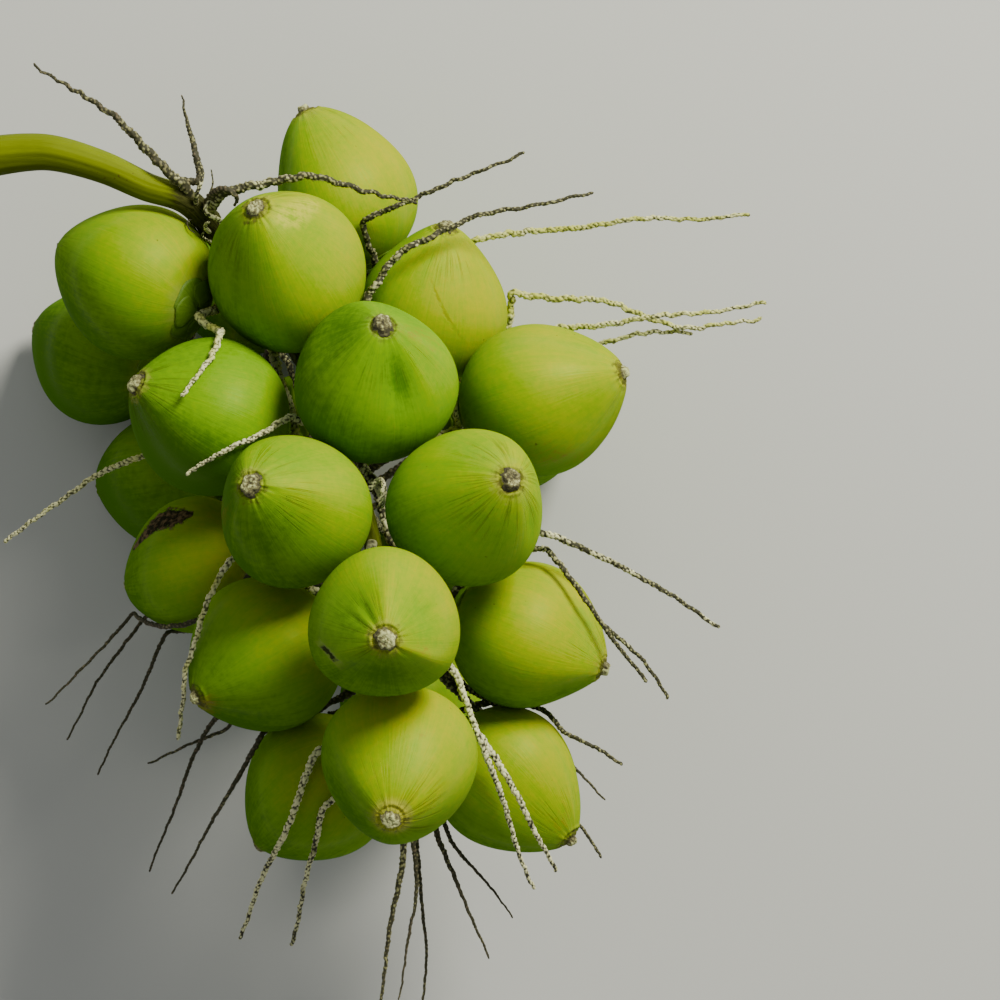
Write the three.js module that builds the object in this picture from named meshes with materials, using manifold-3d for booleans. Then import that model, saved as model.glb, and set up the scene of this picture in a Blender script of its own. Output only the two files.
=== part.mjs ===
// A bunch of green coconuts with its stalk, cut from the palm and laid on its back.
// Millimetres, +Z up: the face that shows looks up, the nuts' underside rests on Z = 0,
// +Y points from the hanging end to the stalk's end.
import * as THREE from 'three';
import { mergeVertices } from 'three/addons/utils/BufferGeometryUtils.js';
import Module from 'manifold-3d';

const wasm = await Module();
wasm.setup();

// Driving dimensions
const GAP = 0.4; // clearance between two pieces that touch, at a corner of a section
const NUT_SIDES = 14; // facets round a nut
const BASE_LENGTH = 0.98; // from the widest girth to the calyx, in half widths
const SHOULDER = 0.05; // how far the sides flatten towards the tip, in radii
const SWELL = 0.07; // how far the tip is drawn out, in half widths
const RIDGE = 0.024; // height of the three blunt ridges, in radii
const NUB_HEIGHT = 7; // dry stub of the flower's style at the tip
const NUB_ANGLE = 5.2; // half angle that the stub takes, in degrees
const CALYX_HEIGHT = 3; // thickness of the ring of calyx scales
const CALYX_ANGLE = 154; // where the ring of scales begins, in degrees from the tip
const PROUD = 1.004; // facet corners stand a little proud, so the facets keep the mean surface
const STALK_CUT_RADIUS = 23; // at the cut end
const STALK_NECK_RADIUS = 13; // where the first spikelets leave
const STALK_END_RADIUS = 7; // at the far end, among the nuts
const STALK_SIDES = 12;
const SPIKELET_SIDES = 6;
const SPIKELET_BASE = 5.4; // spikelet radius where it leaves the stalk
const SPIKELET_NECK = 4.8; // just past its nut
const SPIKELET_TIP = 2.2;
const SEAT = 4.6; // spikelet radius where its nut sits
const STEP = 9; // spacing of the points that lay a spikelet
const LEAVING = 12; // stretch at a spikelet's start that the stalk still holds
const SETTLE = 90; // rounds in which the spikelets find their way among the nuts

const GREEN = new THREE.Color(0x6f9413);
const GOLD = new THREE.Color(0xa6b92c);
const STALK_GREEN = 0x8a9a2e;
const SPIKELET_CREAM = new THREE.Color(0xb9b58a);
const SPIKELET_DARK = new THREE.Color(0x5d5333);

// Nuts: name, centre, the way the tip points, width, length of the tip's half in half widths,
// turn of the ridges in degrees, and how golden the husk is
const NUTS = [
  ['a', [-11, 344, 165], [-0.42, 0.9, 0.08], 144, 1.38, 60, 0.3],
  ['b', [-220, 259, 246], [-0.8, 0.38, -0.45], 158, 1.18, 90, 0.1],
  ['c', [-66, 264, 296], [-0.27, 0.58, 0.77], 159, 1.28, 83, 0.35],
  ['d', [77, 231, 224.4], [0.16, 0.89, 0.43], 152, 1.16, 40, 0.4],
  ['e', [22, 153.8, 375.9], [0.11, 0.58, 0.81], 162, 1.1, 62, 0.15],
  ['f', [180.9, 139, 292.2], [0.91, 0.27, 0.32], 155, 1.19, 75, 0.5],
  ['g', [-142, 120, 315], [-0.8, 0.37, 0.47], 159, 1.08, 75, 0.25],
  ['h', [-53, 27, 440], [-0.38, 0.25, 0.89], 150, 1.3, 123, 0.35],
  ['i', [112.4, 30.5, 423.3], [0.42, 0.26, 0.87], 155, 1.3, 62, 0.4],
  ['j', [35, -81, 510], [0.04, -0.13, 0.99], 147, 1.2, 90, 0.35],
  ['k', [170, -98, 320], [0.92, -0.36, 0.17], 149, 1.1, 110, 0.6],
  ['l', [-86, -117, 350], [-0.77, -0.45, 0.45], 156, 1.05, 60, 0.2],
  ['m', [48, -216, 435], [-0.06, -0.49, 0.87], 153, 1.3, 30, 0.55],
  ['n', [151, -239, 290], [0.7, -0.66, 0.25], 143, 1.24, 40, 0.5],
  ['o', [-36, -250, 290], [-0.64, -0.62, -0.42], 150, 1.16, 90, 0.1],
  ['p', [-158, -30, 225], [-0.84, -0.22, -0.5], 141, 1.2, 60, 0.2],
  ['q', [-268, 190, 72.7], [-0.75, 0.3, -0.45], 146, 1.15, 0, 0.05],
  ['r', [-200, 60, 71.4], [-0.8, -0.1, -0.5], 143, 1.15, 0, 0.05],
  ['v1', [-116, 262, 73.6], [-0.25, 0.75, -0.6], 146, 1.15, 0, 0.2],
  ['v2', [37.3, 225.9, 78.5], [0.25, 0.6, -0.75], 148, 1.15, 0, 0.2],
  ['v3', [158, 118, 74.8], [0.75, 0.2, -0.6], 148, 1.15, 0, 0.3],
  ['v4', [-52, 98, 83.8], [-0.5, 0.2, -0.8], 146, 1.15, 0, 0.1],
  ['v5', [90, -20, 78.5], [0.6, -0.25, -0.75], 148, 1.15, 0, 0.2],
  ['v6', [-84, -62, 83], [-0.55, -0.2, -0.8], 148, 1.15, 0, 0.15],
  ['v7', [51, -176, 75.3], [0.1, -0.75, -0.65], 148, 1.15, 0, 0.2],
];

// The stalk's centre line, from the cut end over the arch and down among the nuts
const STALK = [
  [-407, 368, 300], [-370, 380, 302], [-326, 386, 300], [-294, 384, 297], [-250, 371, 290],
  [-210, 353, 282], [-168, 337, 270], [-133, 297, 228], [-93, 242, 212], [-47, 170, 222],
  [-11, 89, 245], [15, 8, 268], [31, -72, 285], [44, -157, 292],
];
const JUNCTION = 6; // the row of STALK where the bare stalk ends and the spikelets begin

// Spikelets in the order in which they leave the stalk: the nut that each carries, or the
// spikelet that it forks from, and the points that its bare end passes on its way out
const SPIKELETS = [
  ['top_1', null, null, [-179, 358, 292], [-232, 416, 305], [-321, 474, 300]],
  ['top_2', null, 'top_1', [-156, 358, 275], [-167, 411, 262], [-175, 447, 255]],
  ['top_3', null, null, [-129, 346, 300], [-46, 362, 300], [63, 337, 262]],
  ['b', 'b', null, [-135, 204, 318], [-138, 175, 368], [-167, 140, 400]],
  ['q', 'q', null, [-157, 120, 165], [-146, 69, 170]],
  ['v1', 'v1', null, [-60, 141, 160], [-39, 89, 165]],
  ['a', 'a', null, [6, 319, 240], [84, 352, 262], [171, 388, 268]],
  ['g', 'g', null, [-197, 86, 255], [-265, 62, 240], [-358, -5, 225]],
  ['v2', 'v2', null, [119, 303, 195], [205, 315, 202], [309, 324, 215], [400, 327, 225]],
  ['c', 'c', null, [8, 235, 305], [46, 286, 312], [125, 322, 302], [240, 346, 290]],
  ['r', 'r', null, [-148, -24, 140], [-222, -85, 150], [-272, -155, 155], [-300, -209, 155]],
  ['d', 'd', null, [152, 247, 225], [254, 238, 235], [339, 210, 245], [411, 222, 250]],
  ['v4', 'v4', null, [-14, 7, 150], [2, -55, 160]],
  ['e', 'e', null, [-61, 120, 355], [-114, 92, 392], [-163, 62, 380]],
  ['v3', 'v3', null, [222, 191, 205], [280, 206, 225], [341, 207, 240]],
  ['f', 'f', null, [226, 213, 262], [296, 220, 285], [413, 235, 295]],
  ['p', 'p', null, [-222, -73, 215], [-259, -114, 215], [-316, -170, 220]],
  ['h', 'h', null, [28, 59, 380], [39, 31, 420]],
  ['i', 'i', null, [186, 6, 365], [265, -26, 362], [364, -88, 350]],
  ['l', 'l', null, [-118, -19, 374], [-142, -68, 402], [-163, -149, 375], [-174, -200, 345]],
  ['k', 'k', null, [191, -10, 350], [225, -54, 372], [291, -143, 350]],
  ['v6', 'v6', null, [-192, -97, 205], [-221, -156, 200], [-265, -243, 195]],
  ['low_9', null, null, [-117, -164, 250], [-143, -184, 245], [-167, -229, 240], [-209, -339, 235]],
  ['low_10', null, 'low_9', [-129, -192, 235], [-167, -210, 230], [-212, -229, 225]],
  ['v5', 'v5', null, [254, -90, 280], [287, -119, 290], [314, -162, 290]],
  ['v7', 'v7', null, [62, -323, 205], [71, -416, 212], [67, -475, 215]],
  ['j', 'j', null, [99, -128, 405], [128, -198, 405], [162, -300, 372], [180, -348, 345]],
  ['low_1', null, null, [-89, -192, 322], [-125, -255, 318], [-183, -357, 290]],
  ['low_4', null, null, [22, -236, 346], [-29, -264, 370], [-38, -308, 352], [-63, -407, 310]],
  ['n', 'n', null, [206, -191, 312], [242, -208, 315], [268, -227, 310]],
  ['o', 'o', null, [-33, -208, 370], [-56, -266, 375], [-98, -356, 320], [-115, -401, 300]],
  ['low_2', null, null, [227, -292, 225], [249, -326, 222]],
  ['low_3', null, 'low_2', [232, -244, 235], [253, -266, 235]],
  ['m', 'm', null, [124, -193, 376], [166, -257, 382], [201, -331, 345]],
  ['low_5', null, null, [50, -310, 325], [37, -388, 325], [26, -465, 318]],
  ['low_6', null, 'low_5', [60, -312, 305], [62, -362, 305], [44, -462, 300]],
  ['low_7', null, null, [86, -308, 285], [104, -348, 285], [135, -423, 280]],
  ['low_8', null, 'low_7', [97, -306, 262], [131, -346, 258], [159, -384, 255]],
];
const FORK_AT = 5; // the point of the other spikelet where a fork begins

// A nut's own axes: w to the tip, u and v across
function axesOf(tip) {
  const w = new THREE.Vector3(...tip).normalize();
  const side = Math.abs(w.z) < 0.9 ? new THREE.Vector3(0, 0, 1) : new THREE.Vector3(0, 1, 0);
  const u = side.cross(w).normalize();
  const v = w.clone().cross(u);
  return { u, v, w };
}

// Distance of the husk from the nut's centre, by the angle from the tip and round the axis:
// two half ellipsoids, flattened and drawn out to the tip, with three blunt ridges that are
// strongest towards it, and a ring of calyx scales
function huskRadius(theta, phi, nut) {
  const a = nut.width / 2;
  const fore = theta < Math.PI / 2;
  const c = a * (fore ? nut.length : BASE_LENGTH);
  const oval = 1 / Math.hypot(Math.sin(theta) / a, Math.cos(theta) / c);
  const flat = fore ? 1 - SHOULDER * Math.sin(2 * theta) ** 2 : 1;
  const drawn = SWELL * a * Math.exp(-((theta / 0.28) ** 2));
  const ridge = RIDGE * Math.sin(theta) ** 2 * (1 + 0.8 * Math.cos(theta));
  const ridged = (oval * flat + drawn) * (1 + ridge * Math.cos(3 * (phi - nut.roll)));
  const edge = THREE.MathUtils.degToRad(CALYX_ANGLE);
  return ridged + CALYX_HEIGHT / (1 + Math.exp((edge - theta) / 0.035));
}

// A nut as a ball whose rows are set by hand: close together at the stub and at the calyx
function nutGeometry(nut) {
  const rows = [0, NUB_ANGLE - 0.6, NUB_ANGLE + 1.2, 17, 33, 50, 68, 86, 104, 122, 140, 151, 158, 180];
  const geometry = new THREE.SphereGeometry(1, NUT_SIDES, rows.length - 1);
  geometry.rotateX(Math.PI / 2);
  const place = geometry.attributes.position;
  const p = new THREE.Vector3();
  for (let i = 0; i < place.count; i += 1) {
    p.fromBufferAttribute(place, i);
    const row = Math.round((Math.acos(THREE.MathUtils.clamp(p.z, -1, 1)) / Math.PI) * (rows.length - 1));
    const theta = THREE.MathUtils.degToRad(rows[row]);
    const phi = Math.atan2(p.y, p.x);
    const nub = rows[row] < NUB_ANGLE ? NUB_HEIGHT : 0;
    const r = PROUD * huskRadius(theta, phi, nut) + nub;
    const across = row === 0 || row === rows.length - 1 ? 0 : Math.sin(theta);
    place.setXYZ(i, r * across * Math.cos(phi), r * across * Math.sin(phi), r * Math.cos(theta));
  }
  return geometry;
}

// Distance from a point to a nut's husk along the line to its centre, below nought inside
function clearOfNut(nut, x, y, z) {
  const dx = x - nut.centre.x;
  const dy = y - nut.centre.y;
  const dz = z - nut.centre.z;
  const r = Math.hypot(dx, dy, dz);
  const along = (dx * nut.w.x + dy * nut.w.y + dz * nut.w.z) / Math.max(r, 1e-9);
  const theta = Math.acos(THREE.MathUtils.clamp(along, -1, 1));
  const pu = dx * nut.u.x + dy * nut.u.y + dz * nut.u.z;
  const pv = dx * nut.v.x + dy * nut.v.y + dz * nut.v.z;
  return r - huskRadius(theta, Math.atan2(pv, pu), nut);
}

// A smooth line through points at even steps of its own length, or a stretch of another line
class Stretch extends THREE.Curve {
  constructor(whole, from, to) {
    super();
    this.whole = whole;
    this.from = from;
    this.to = to;
  }

  getPoint(t) {
    return this.whole.getPointAt(this.from + (this.to - this.from) * t);
  }
}

// A line whose even steps fall on its own points, close together where it bends
class Strand extends THREE.Curve {
  constructor(points) {
    super();
    this.line = new THREE.CatmullRomCurve3(points, false, 'catmullrom', 0.5);
  }

  getPoint(t) {
    return this.line.getPoint(t);
  }

  getPointAt(t) {
    return this.line.getPoint(t);
  }
}

// A round rod along a line, thick as radiusAt says at each ring from 0 to steps
function rodGeometry(line, steps, sides, radiusAt) {
  const section = new THREE.Shape();
  for (let i = 0; i < sides; i += 1) {
    const angle = (2 * Math.PI * i) / sides;
    if (i === 0) section.moveTo(1, 0);
    else section.lineTo(Math.cos(angle), Math.sin(angle));
  }
  section.closePath();
  const geometry = new THREE.ExtrudeGeometry(section, { steps, extrudePath: line, curveSegments: 1 });
  const rings = line.getSpacedPoints(steps);
  const place = geometry.attributes.position;
  const p = new THREE.Vector3();
  for (let i = 0; i < place.count; i += 1) {
    p.fromBufferAttribute(place, i);
    let nearest = 0;
    for (let k = 1; k <= steps; k += 1) {
      if (p.distanceToSquared(rings[k]) < p.distanceToSquared(rings[nearest])) nearest = k;
    }
    p.sub(rings[nearest]).setLength(radiusAt(nearest)).add(rings[nearest]);
    place.setXYZ(i, p.x, p.y, p.z);
  }
  return geometry;
}

// A closed mesh as a solid that can be cut or joined
function solidOf(geometry) {
  const bare = geometry.clone();
  bare.deleteAttribute('normal');
  bare.deleteAttribute('uv');
  const merged = mergeVertices(bare, 1e-3);
  return new wasm.Manifold(new wasm.Mesh({
    numProp: 3,
    vertProperties: new Float32Array(merged.attributes.position.array),
    triVerts: new Uint32Array(merged.index.array),
  }));
}

// The solid's mesh as a geometry again
function geometryOf(solid) {
  const mesh = solid.getMesh();
  const count = mesh.vertProperties.length / mesh.numProp;
  const place = new Float32Array(count * 3);
  for (let i = 0; i < count; i += 1) {
    for (let k = 0; k < 3; k += 1) {
      place[3 * i + k] = mesh.vertProperties[mesh.numProp * i + k];
    }
  }
  const geometry = new THREE.BufferGeometry();
  geometry.setAttribute('position', new THREE.BufferAttribute(place, 3));
  geometry.setIndex(new THREE.BufferAttribute(new Uint32Array(mesh.triVerts), 1));
  geometry.computeVertexNormals();
  return geometry;
}

// The one body that is left when a cut also leaves a crumb
function mainBody(solid) {
  return solid.decompose().sort((a, b) => b.volume() - a.volume())[0];
}

// Spikelet radius at a distance from the stalk: it thins past its nut and again to the tip
function spikeletRadius(distance, total) {
  const neck = Math.min(1, distance / 70);
  const r = SPIKELET_BASE + (SPIKELET_NECK - SPIKELET_BASE) * neck;
  const out = Math.max(0, (distance - 90) / Math.max(1, total - 90));
  return r + (SPIKELET_TIP - r) * out ** 1.2;
}

// The first course of one spikelet: from the stalk to its nut's calyx, along the calyx and
// round the nut, then through the points of its bare end
function firstCourse(row, start, nut, radial) {
  const stops = [{ at: start, kind: 'fixed' }];
  if (nut) {
    const pole = nut.centre.clone().addScaledVector(nut.w, -(radial + SEAT - 1.5));
    const across = row.ends[0].clone().sub(pole);
    across.addScaledVector(nut.w, -across.dot(nut.w)).normalize();
    const outward = row.ends[0].clone().sub(nut.centre).normalize();
    const before = pole.clone().addScaledVector(across, -26).addScaledVector(nut.w, -7);
    const round = outward.sub(nut.w).addScaledVector(across, 0.4).normalize();
    stops.push({ at: before, kind: 'free' });
    stops.push({ at: pole, kind: 'fixed' });
    stops.push({ at: round.multiplyScalar(radial + 12).add(nut.centre), kind: 'free' });
  }
  for (const end of row.ends) stops.push({ at: end, kind: 'drawn' });
  const points = [{ at: start.clone(), kind: 'fixed' }];
  for (let k = 1; k < stops.length; k += 1) {
    const a = stops[k - 1].at;
    const b = stops[k].at;
    const parts = Math.max(2, Math.round(a.distanceTo(b) / STEP));
    for (let i = 1; i <= parts; i += 1) {
      points.push({ at: a.clone().lerp(b, i / parts), kind: i === parts ? stops[k].kind : 'free' });
    }
  }
  return points;
}

// All the spikelets' points in one row, each with its radius, kind, home and distance
function firstCourses(rows, nuts, rachis) {
  const grains = [];
  const roots = rows.filter((row) => !row.fork).length;
  let rank = 0;
  for (const row of rows) {
    let start;
    let startDistance = 0;
    if (row.fork) {
      start = rows.find((other) => other.name === row.fork).points[FORK_AT].at;
      startDistance = FORK_AT * STEP;
    } else {
      const share = (rank + 0.7) / (roots + 1.2);
      start = rachis[Math.round(share * (rachis.length - 1))].at;
      rank += 1;
    }
    const nut = nuts[row.carries];
    row.points = firstCourse(row, start, nut, nut ? huskRadius(Math.PI, 0, nut) : 0);
    let distance = startDistance;
    row.points.forEach((grain, i) => {
      if (i > 0) distance += grain.at.distanceTo(row.points[i - 1].at);
      grain.distance = distance;
    });
    for (const grain of row.points) {
      grain.r = spikeletRadius(grain.distance, distance) * (row.fork ? 0.8 : 1);
      grain.home = grain.at.clone();
      grain.group = row.fork || row.name;
      grains.push(grain);
    }
  }
  return grains;
}

// One round of evening out a spikelet's bends, as a stiff strand does
function evenOut(rows, share) {
  for (const row of rows) {
    const old = row.points.map((grain) => grain.at.clone());
    const last = old.length - 1;
    for (let i = 1; i < last; i += 1) {
      const grain = row.points[i];
      if (grain.kind === 'fixed') continue;
      const near = old[i - 1].clone().add(old[i + 1]);
      const lap = near.clone().multiplyScalar(0.5).sub(old[i]);
      if (i === 1 || i === last - 1) {
        grain.at.addScaledVector(lap, 0.4 * share);
        continue;
      }
      const beam = near.multiplyScalar(4).sub(old[i - 2]).sub(old[i + 2]).divideScalar(6).sub(old[i]);
      grain.at.addScaledVector(beam, 0.45 * share).addScaledVector(lap, 0.08 * share);
    }
  }
}

// Keeps every point clear of every nut
function clearNuts(grains, nuts) {
  for (const nut of Object.values(nuts)) {
    for (const grain of grains) {
      const p = grain.at;
      const far = Math.max(Math.abs(p.x - nut.centre.x), Math.abs(p.y - nut.centre.y), Math.abs(p.z - nut.centre.z));
      if (grain.kind === 'fixed' || far >= 110) continue;
      const need = grain.r + 1.6 - clearOfNut(nut, p.x, p.y, p.z);
      if (need > 0) p.addScaledVector(p.clone().sub(nut.centre).normalize(), need);
    }
  }
}

// Keeps the points that have left the stalk clear of it
function clearStalk(grains, stalk) {
  for (const grain of grains) {
    if (grain.kind === 'fixed' || grain.distance <= 34) continue;
    let nearest = stalk[0];
    for (const spot of stalk) {
      if (grain.at.distanceToSquared(spot.at) < grain.at.distanceToSquared(nearest.at)) nearest = spot;
    }
    const away = grain.at.clone().sub(nearest.at);
    const need = nearest.r + grain.r + 2 - away.length();
    if (need > 0) grain.at.addScaledVector(away.normalize(), need);
  }
}

// Pairs of points of two spikelets that lie near each other
function nearPairs(grains) {
  const pairs = [];
  for (let i = 0; i < grains.length; i += 1) {
    if (grains[i].distance <= LEAVING) continue;
    for (let k = i + 1; k < grains.length; k += 1) {
      if (grains[k].distance <= LEAVING || grains[i].group === grains[k].group) continue;
      if (grains[i].at.distanceToSquared(grains[k].at) < 32 * 32) pairs.push([grains[i], grains[k]]);
    }
  }
  return pairs;
}

// Keeps two spikelets from running through each other
function clearEachOther(grains, pairs) {
  for (const grain of grains) grain.move = new THREE.Vector3();
  for (const [one, other] of pairs) {
    const away = one.at.clone().sub(other.at);
    const push = (one.r + other.r + 3 - away.length()) / 2;
    if (push <= 0) continue;
    away.normalize();
    one.move.addScaledVector(away, push);
    other.move.addScaledVector(away, -push);
  }
  for (const grain of grains) {
    if (grain.kind !== 'fixed') grain.at.add(grain.move.clampLength(0, 4));
  }
}

// Lays every spikelet among the nuts; rachis holds the spots that they can start from
function laySpikelets(rows, nuts, rachis, stalk) {
  const grains = firstCourses(rows, nuts, rachis);
  let pairs = [];
  for (let round = 0; round < SETTLE; round += 1) {
    const closing = round >= SETTLE - 12;
    evenOut(rows, closing ? 0.35 : 1);
    for (const grain of grains) {
      if (grain.kind === 'drawn') grain.at.lerp(grain.home, 0.3);
    }
    clearNuts(grains, nuts);
    if (round % 3 === 0 || closing) clearStalk(grains, stalk);
    if (round % 10 === 0 || round === SETTLE - 12) pairs = nearPairs(grains);
    clearEachOther(grains, pairs);
    for (const grain of grains) grain.at.z = Math.max(grain.at.z, grain.r + 1.5);
    for (const row of rows) {
      if (row.fork) row.points[0].at.copy(rows.find((other) => other.name === row.fork).points[FORK_AT].at);
    }
  }
}

// The points kept as rings: a new one after each 18 degrees of bend or 42 mm
function ringsOf(points) {
  const kept = [points[0]];
  let turned = 0;
  let gone = 0;
  for (let i = 1; i < points.length - 1; i += 1) {
    const before = points[i].at.clone().sub(points[i - 1].at);
    const after = points[i + 1].at.clone().sub(points[i].at);
    turned += THREE.MathUtils.radToDeg(before.angleTo(after));
    gone += before.length();
    if (turned > 18 || gone > 42 || points[i].kind === 'fixed') {
      kept.push(points[i]);
      turned = 0;
      gone = 0;
    }
  }
  kept.push(points[points.length - 1]);
  return kept;
}

// One spikelet's rod, swollen by extra
function spikeletSolid(row, extra) {
  const rings = ringsOf(row.points);
  const line = new Strand(rings.map((grain) => grain.at));
  const geometry = rodGeometry(line, rings.length - 1, SPIKELET_SIDES, (k) => rings[k].r + extra);
  return solidOf(geometry);
}

// The stalk: radius along the whole line, by the share of its length
function stalkRadius(share, junctionShare) {
  if (share < junctionShare) {
    const t = share / junctionShare;
    return STALK_CUT_RADIUS + (STALK_NECK_RADIUS - STALK_CUT_RADIUS) * t ** 0.8;
  }
  const t = (share - junctionShare) / (1 - junctionShare);
  return STALK_NECK_RADIUS + (STALK_END_RADIUS - STALK_NECK_RADIUS) * t;
}

function makeMesh(name, geometry, colour, roughness) {
  const mesh = new THREE.Mesh(geometry, new THREE.MeshStandardMaterial({ color: colour, roughness, metalness: 0 }));
  mesh.name = name;
  return mesh;
}

// Bare stalk and rachis: two stretches of one line that meet face to face at the junction
const stalkLine = new THREE.CatmullRomCurve3(STALK.map((p) => new THREE.Vector3(...p)), false, 'catmullrom', 0.5);
stalkLine.arcLengthDivisions = 1400;
const lengths = stalkLine.getLengths();
const junction = lengths[Math.round((JUNCTION / (STALK.length - 1)) * 1400)] / lengths[1400];
const halfGap = 0.16 / lengths[1400];
const bareStretch = new Stretch(stalkLine, 0, junction - halfGap);
const rachisStretch = new Stretch(stalkLine, junction + halfGap, 1);

function stalkSolid(stretch, steps, extra) {
  const radius = (k) => stalkRadius(stretch.from + ((stretch.to - stretch.from) * k) / steps, junction) + extra;
  return solidOf(rodGeometry(stretch, steps, STALK_SIDES, radius));
}

// Even spots along a stretch of the stalk, each with the stalk's radius there
function spotsOf(stretch, parts) {
  return stretch.getSpacedPoints(parts).map((at, k) => (
    { at, r: stalkRadius(stretch.from + ((stretch.to - stretch.from) * k) / parts, junction) }
  ));
}

// The bunch
const bunch = new THREE.Group();
const nuts = {};
for (const [name, centre, tip, width, length, turn, gold] of NUTS) {
  const roll = THREE.MathUtils.degToRad(turn);
  nuts[name] = { name, centre: new THREE.Vector3(...centre), ...axesOf(tip), width, length, roll, gold };
}
const rows = SPIKELETS.map(([name, carries, fork, ...ends]) => (
  { name, carries, fork, ends: ends.map((p) => new THREE.Vector3(...p)) }
));
const rachisSpots = spotsOf(rachisStretch, 80);
laySpikelets(rows, nuts, rachisSpots, [...spotsOf(bareStretch, 40), ...rachisSpots]);

bunch.add(makeMesh('stalk', geometryOf(stalkSolid(bareStretch, 12, 0)), STALK_GREEN, 0.6));
bunch.add(makeMesh('rachis', geometryOf(stalkSolid(rachisStretch, 26, 0)), STALK_GREEN, 0.7));

// Each nut sits on its own spikelet's side: the spikelet presses a shallow seat into its calyx
const nutGroup = new THREE.Group();
for (const nut of Object.values(nuts)) {
  const turn = new THREE.Matrix4().makeBasis(nut.u, nut.v, nut.w);
  const carrier = spikeletSolid(rows.find((row) => row.carries === nut.name), GAP);
  const toNut = turn.clone().setPosition(nut.centre).invert();
  const seat = carrier.transform(toNut.toArray());
  const solid = solidOf(nutGeometry(nut)).subtract(seat);
  const colour = GREEN.clone().lerp(GOLD, nut.gold);
  const mesh = makeMesh(`nut_${nut.name}`, geometryOf(solid), colour, 0.42);
  mesh.position.copy(nut.centre);
  mesh.quaternion.setFromRotationMatrix(turn);
  nutGroup.add(mesh);
}
bunch.add(nutGroup);

// Each spikelet starts at the rachis's skin, and a fork is one piece with its neighbour
const spikeletGroup = new THREE.Group();
const rachisEnd = new THREE.SphereGeometry(STALK_END_RADIUS + GAP, 12, 8);
rachisEnd.translate(...STALK[STALK.length - 1]);
const rachisRoom = stalkSolid(rachisStretch, 26, GAP).add(solidOf(rachisEnd));
const bareRoom = stalkSolid(bareStretch, 12, GAP);
for (const row of rows) {
  if (row.fork) continue;
  let solid = spikeletSolid(row, 0);
  for (const other of rows) {
    if (other.fork === row.name) solid = solid.add(spikeletSolid(other, 0));
  }
  solid = mainBody(solid.subtract(rachisRoom).subtract(bareRoom));
  const colour = SPIKELET_CREAM.clone().lerp(SPIKELET_DARK, row.carries ? 0.3 : 0.6);
  spikeletGroup.add(makeMesh(`spikelet_${row.name}`, geometryOf(solid), colour, 0.85));
}
bunch.add(spikeletGroup);

export default bunch;
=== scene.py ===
import math

import bpy
import numpy as np
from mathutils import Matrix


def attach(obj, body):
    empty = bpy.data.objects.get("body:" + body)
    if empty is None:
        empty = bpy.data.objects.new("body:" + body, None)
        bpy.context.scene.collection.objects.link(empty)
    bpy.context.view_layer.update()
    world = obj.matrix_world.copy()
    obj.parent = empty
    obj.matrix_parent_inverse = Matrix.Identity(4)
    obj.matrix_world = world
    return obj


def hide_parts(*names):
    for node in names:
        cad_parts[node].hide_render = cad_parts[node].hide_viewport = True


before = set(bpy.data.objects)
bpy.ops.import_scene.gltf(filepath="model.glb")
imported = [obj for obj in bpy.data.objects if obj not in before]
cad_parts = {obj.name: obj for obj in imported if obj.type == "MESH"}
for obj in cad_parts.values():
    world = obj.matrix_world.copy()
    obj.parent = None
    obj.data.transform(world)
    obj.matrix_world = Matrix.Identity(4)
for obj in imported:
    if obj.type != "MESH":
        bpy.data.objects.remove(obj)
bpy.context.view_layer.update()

bpy.ops.object.select_all(action="DESELECT")

# The stalk: the bunch's own arm, solid and fibrous under a smooth waxy skin, 46 mm thick where it
# was cut through square and 26 mm at its neck. It arches over, and runs on among the nuts as the
# rachis that the spikelets grow from.
MM = 0.001
STALK = [
    (-407, 368, 300), (-370, 380, 302), (-326, 386, 300), (-294, 384, 297), (-250, 371, 290),
    (-210, 353, 282), (-168, 337, 270), (-133, 297, 228), (-93, 242, 212), (-47, 170, 222),
    (-11, 89, 245), (15, 8, 268), (31, -72, 285), (44, -157, 292),
]
# the stop that the neck is at, the radii at the cut, the neck and the rachis's end, and the close
# points to each span between two stops
JUNCTION = 6
CUT_RADIUS, NECK_RADIUS, END_RADIUS = 23.0, 13.0, 7.0
PER_SPAN = 110


def smooth_line(stops, per_span=PER_SPAN):
    """Close points along the smooth line through the stops."""
    p = np.array(stops, float)
    q = np.vstack([2 * p[0] - p[1], p, 2 * p[-1] - p[-2]])
    t = np.linspace(0, 1, per_span, endpoint=False)[:, None]
    spans = [
        0.5 * (2 * b + (c - a) * t + (2 * a - 5 * b + 4 * c - d) * t**2 + (3 * b - a - 3 * c + d) * t**3)
        for a, b, c, d in zip(q, q[1:], q[2:], q[3:])
    ]
    return np.vstack(spans + [p[-1:]])


def lengths_along(line):
    return np.r_[0, np.cumsum(np.linalg.norm(np.diff(line, axis=0), axis=1))]


def even_steps(line, parts, start=0.0, end=1.0):
    """Points at even steps of the line's own length, between two shares of it."""
    s = lengths_along(line)
    at = np.linspace(start, end, parts + 1) * s[-1]
    return np.stack([np.interp(at, s, line[:, k]) for k in range(3)], 1)


def unit(v):
    return v / np.maximum(np.linalg.norm(v, axis=-1, keepdims=True), 1e-12)


def hump(x, middle, reach, power=2):
    """One at the middle, and near nought from twice the reach on."""
    return np.exp(-(((x - middle) / reach) ** power))


def turns(count):
    return np.linspace(0, math.tau, count, endpoint=False)


def across(line):
    """Two directions square to the line at every point, carried along it without a twist."""
    along = unit(np.gradient(line, axis=0))
    side = np.zeros_like(line)
    first = np.cross(along[0], (0.3, 0.2, 1.0))
    side[0] = first / np.linalg.norm(first)
    for i in range(1, len(line)):
        s = side[i - 1] - along[i] * (side[i - 1] @ along[i])
        side[i] = s / np.linalg.norm(s)
    return side, np.cross(along, side)


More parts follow.
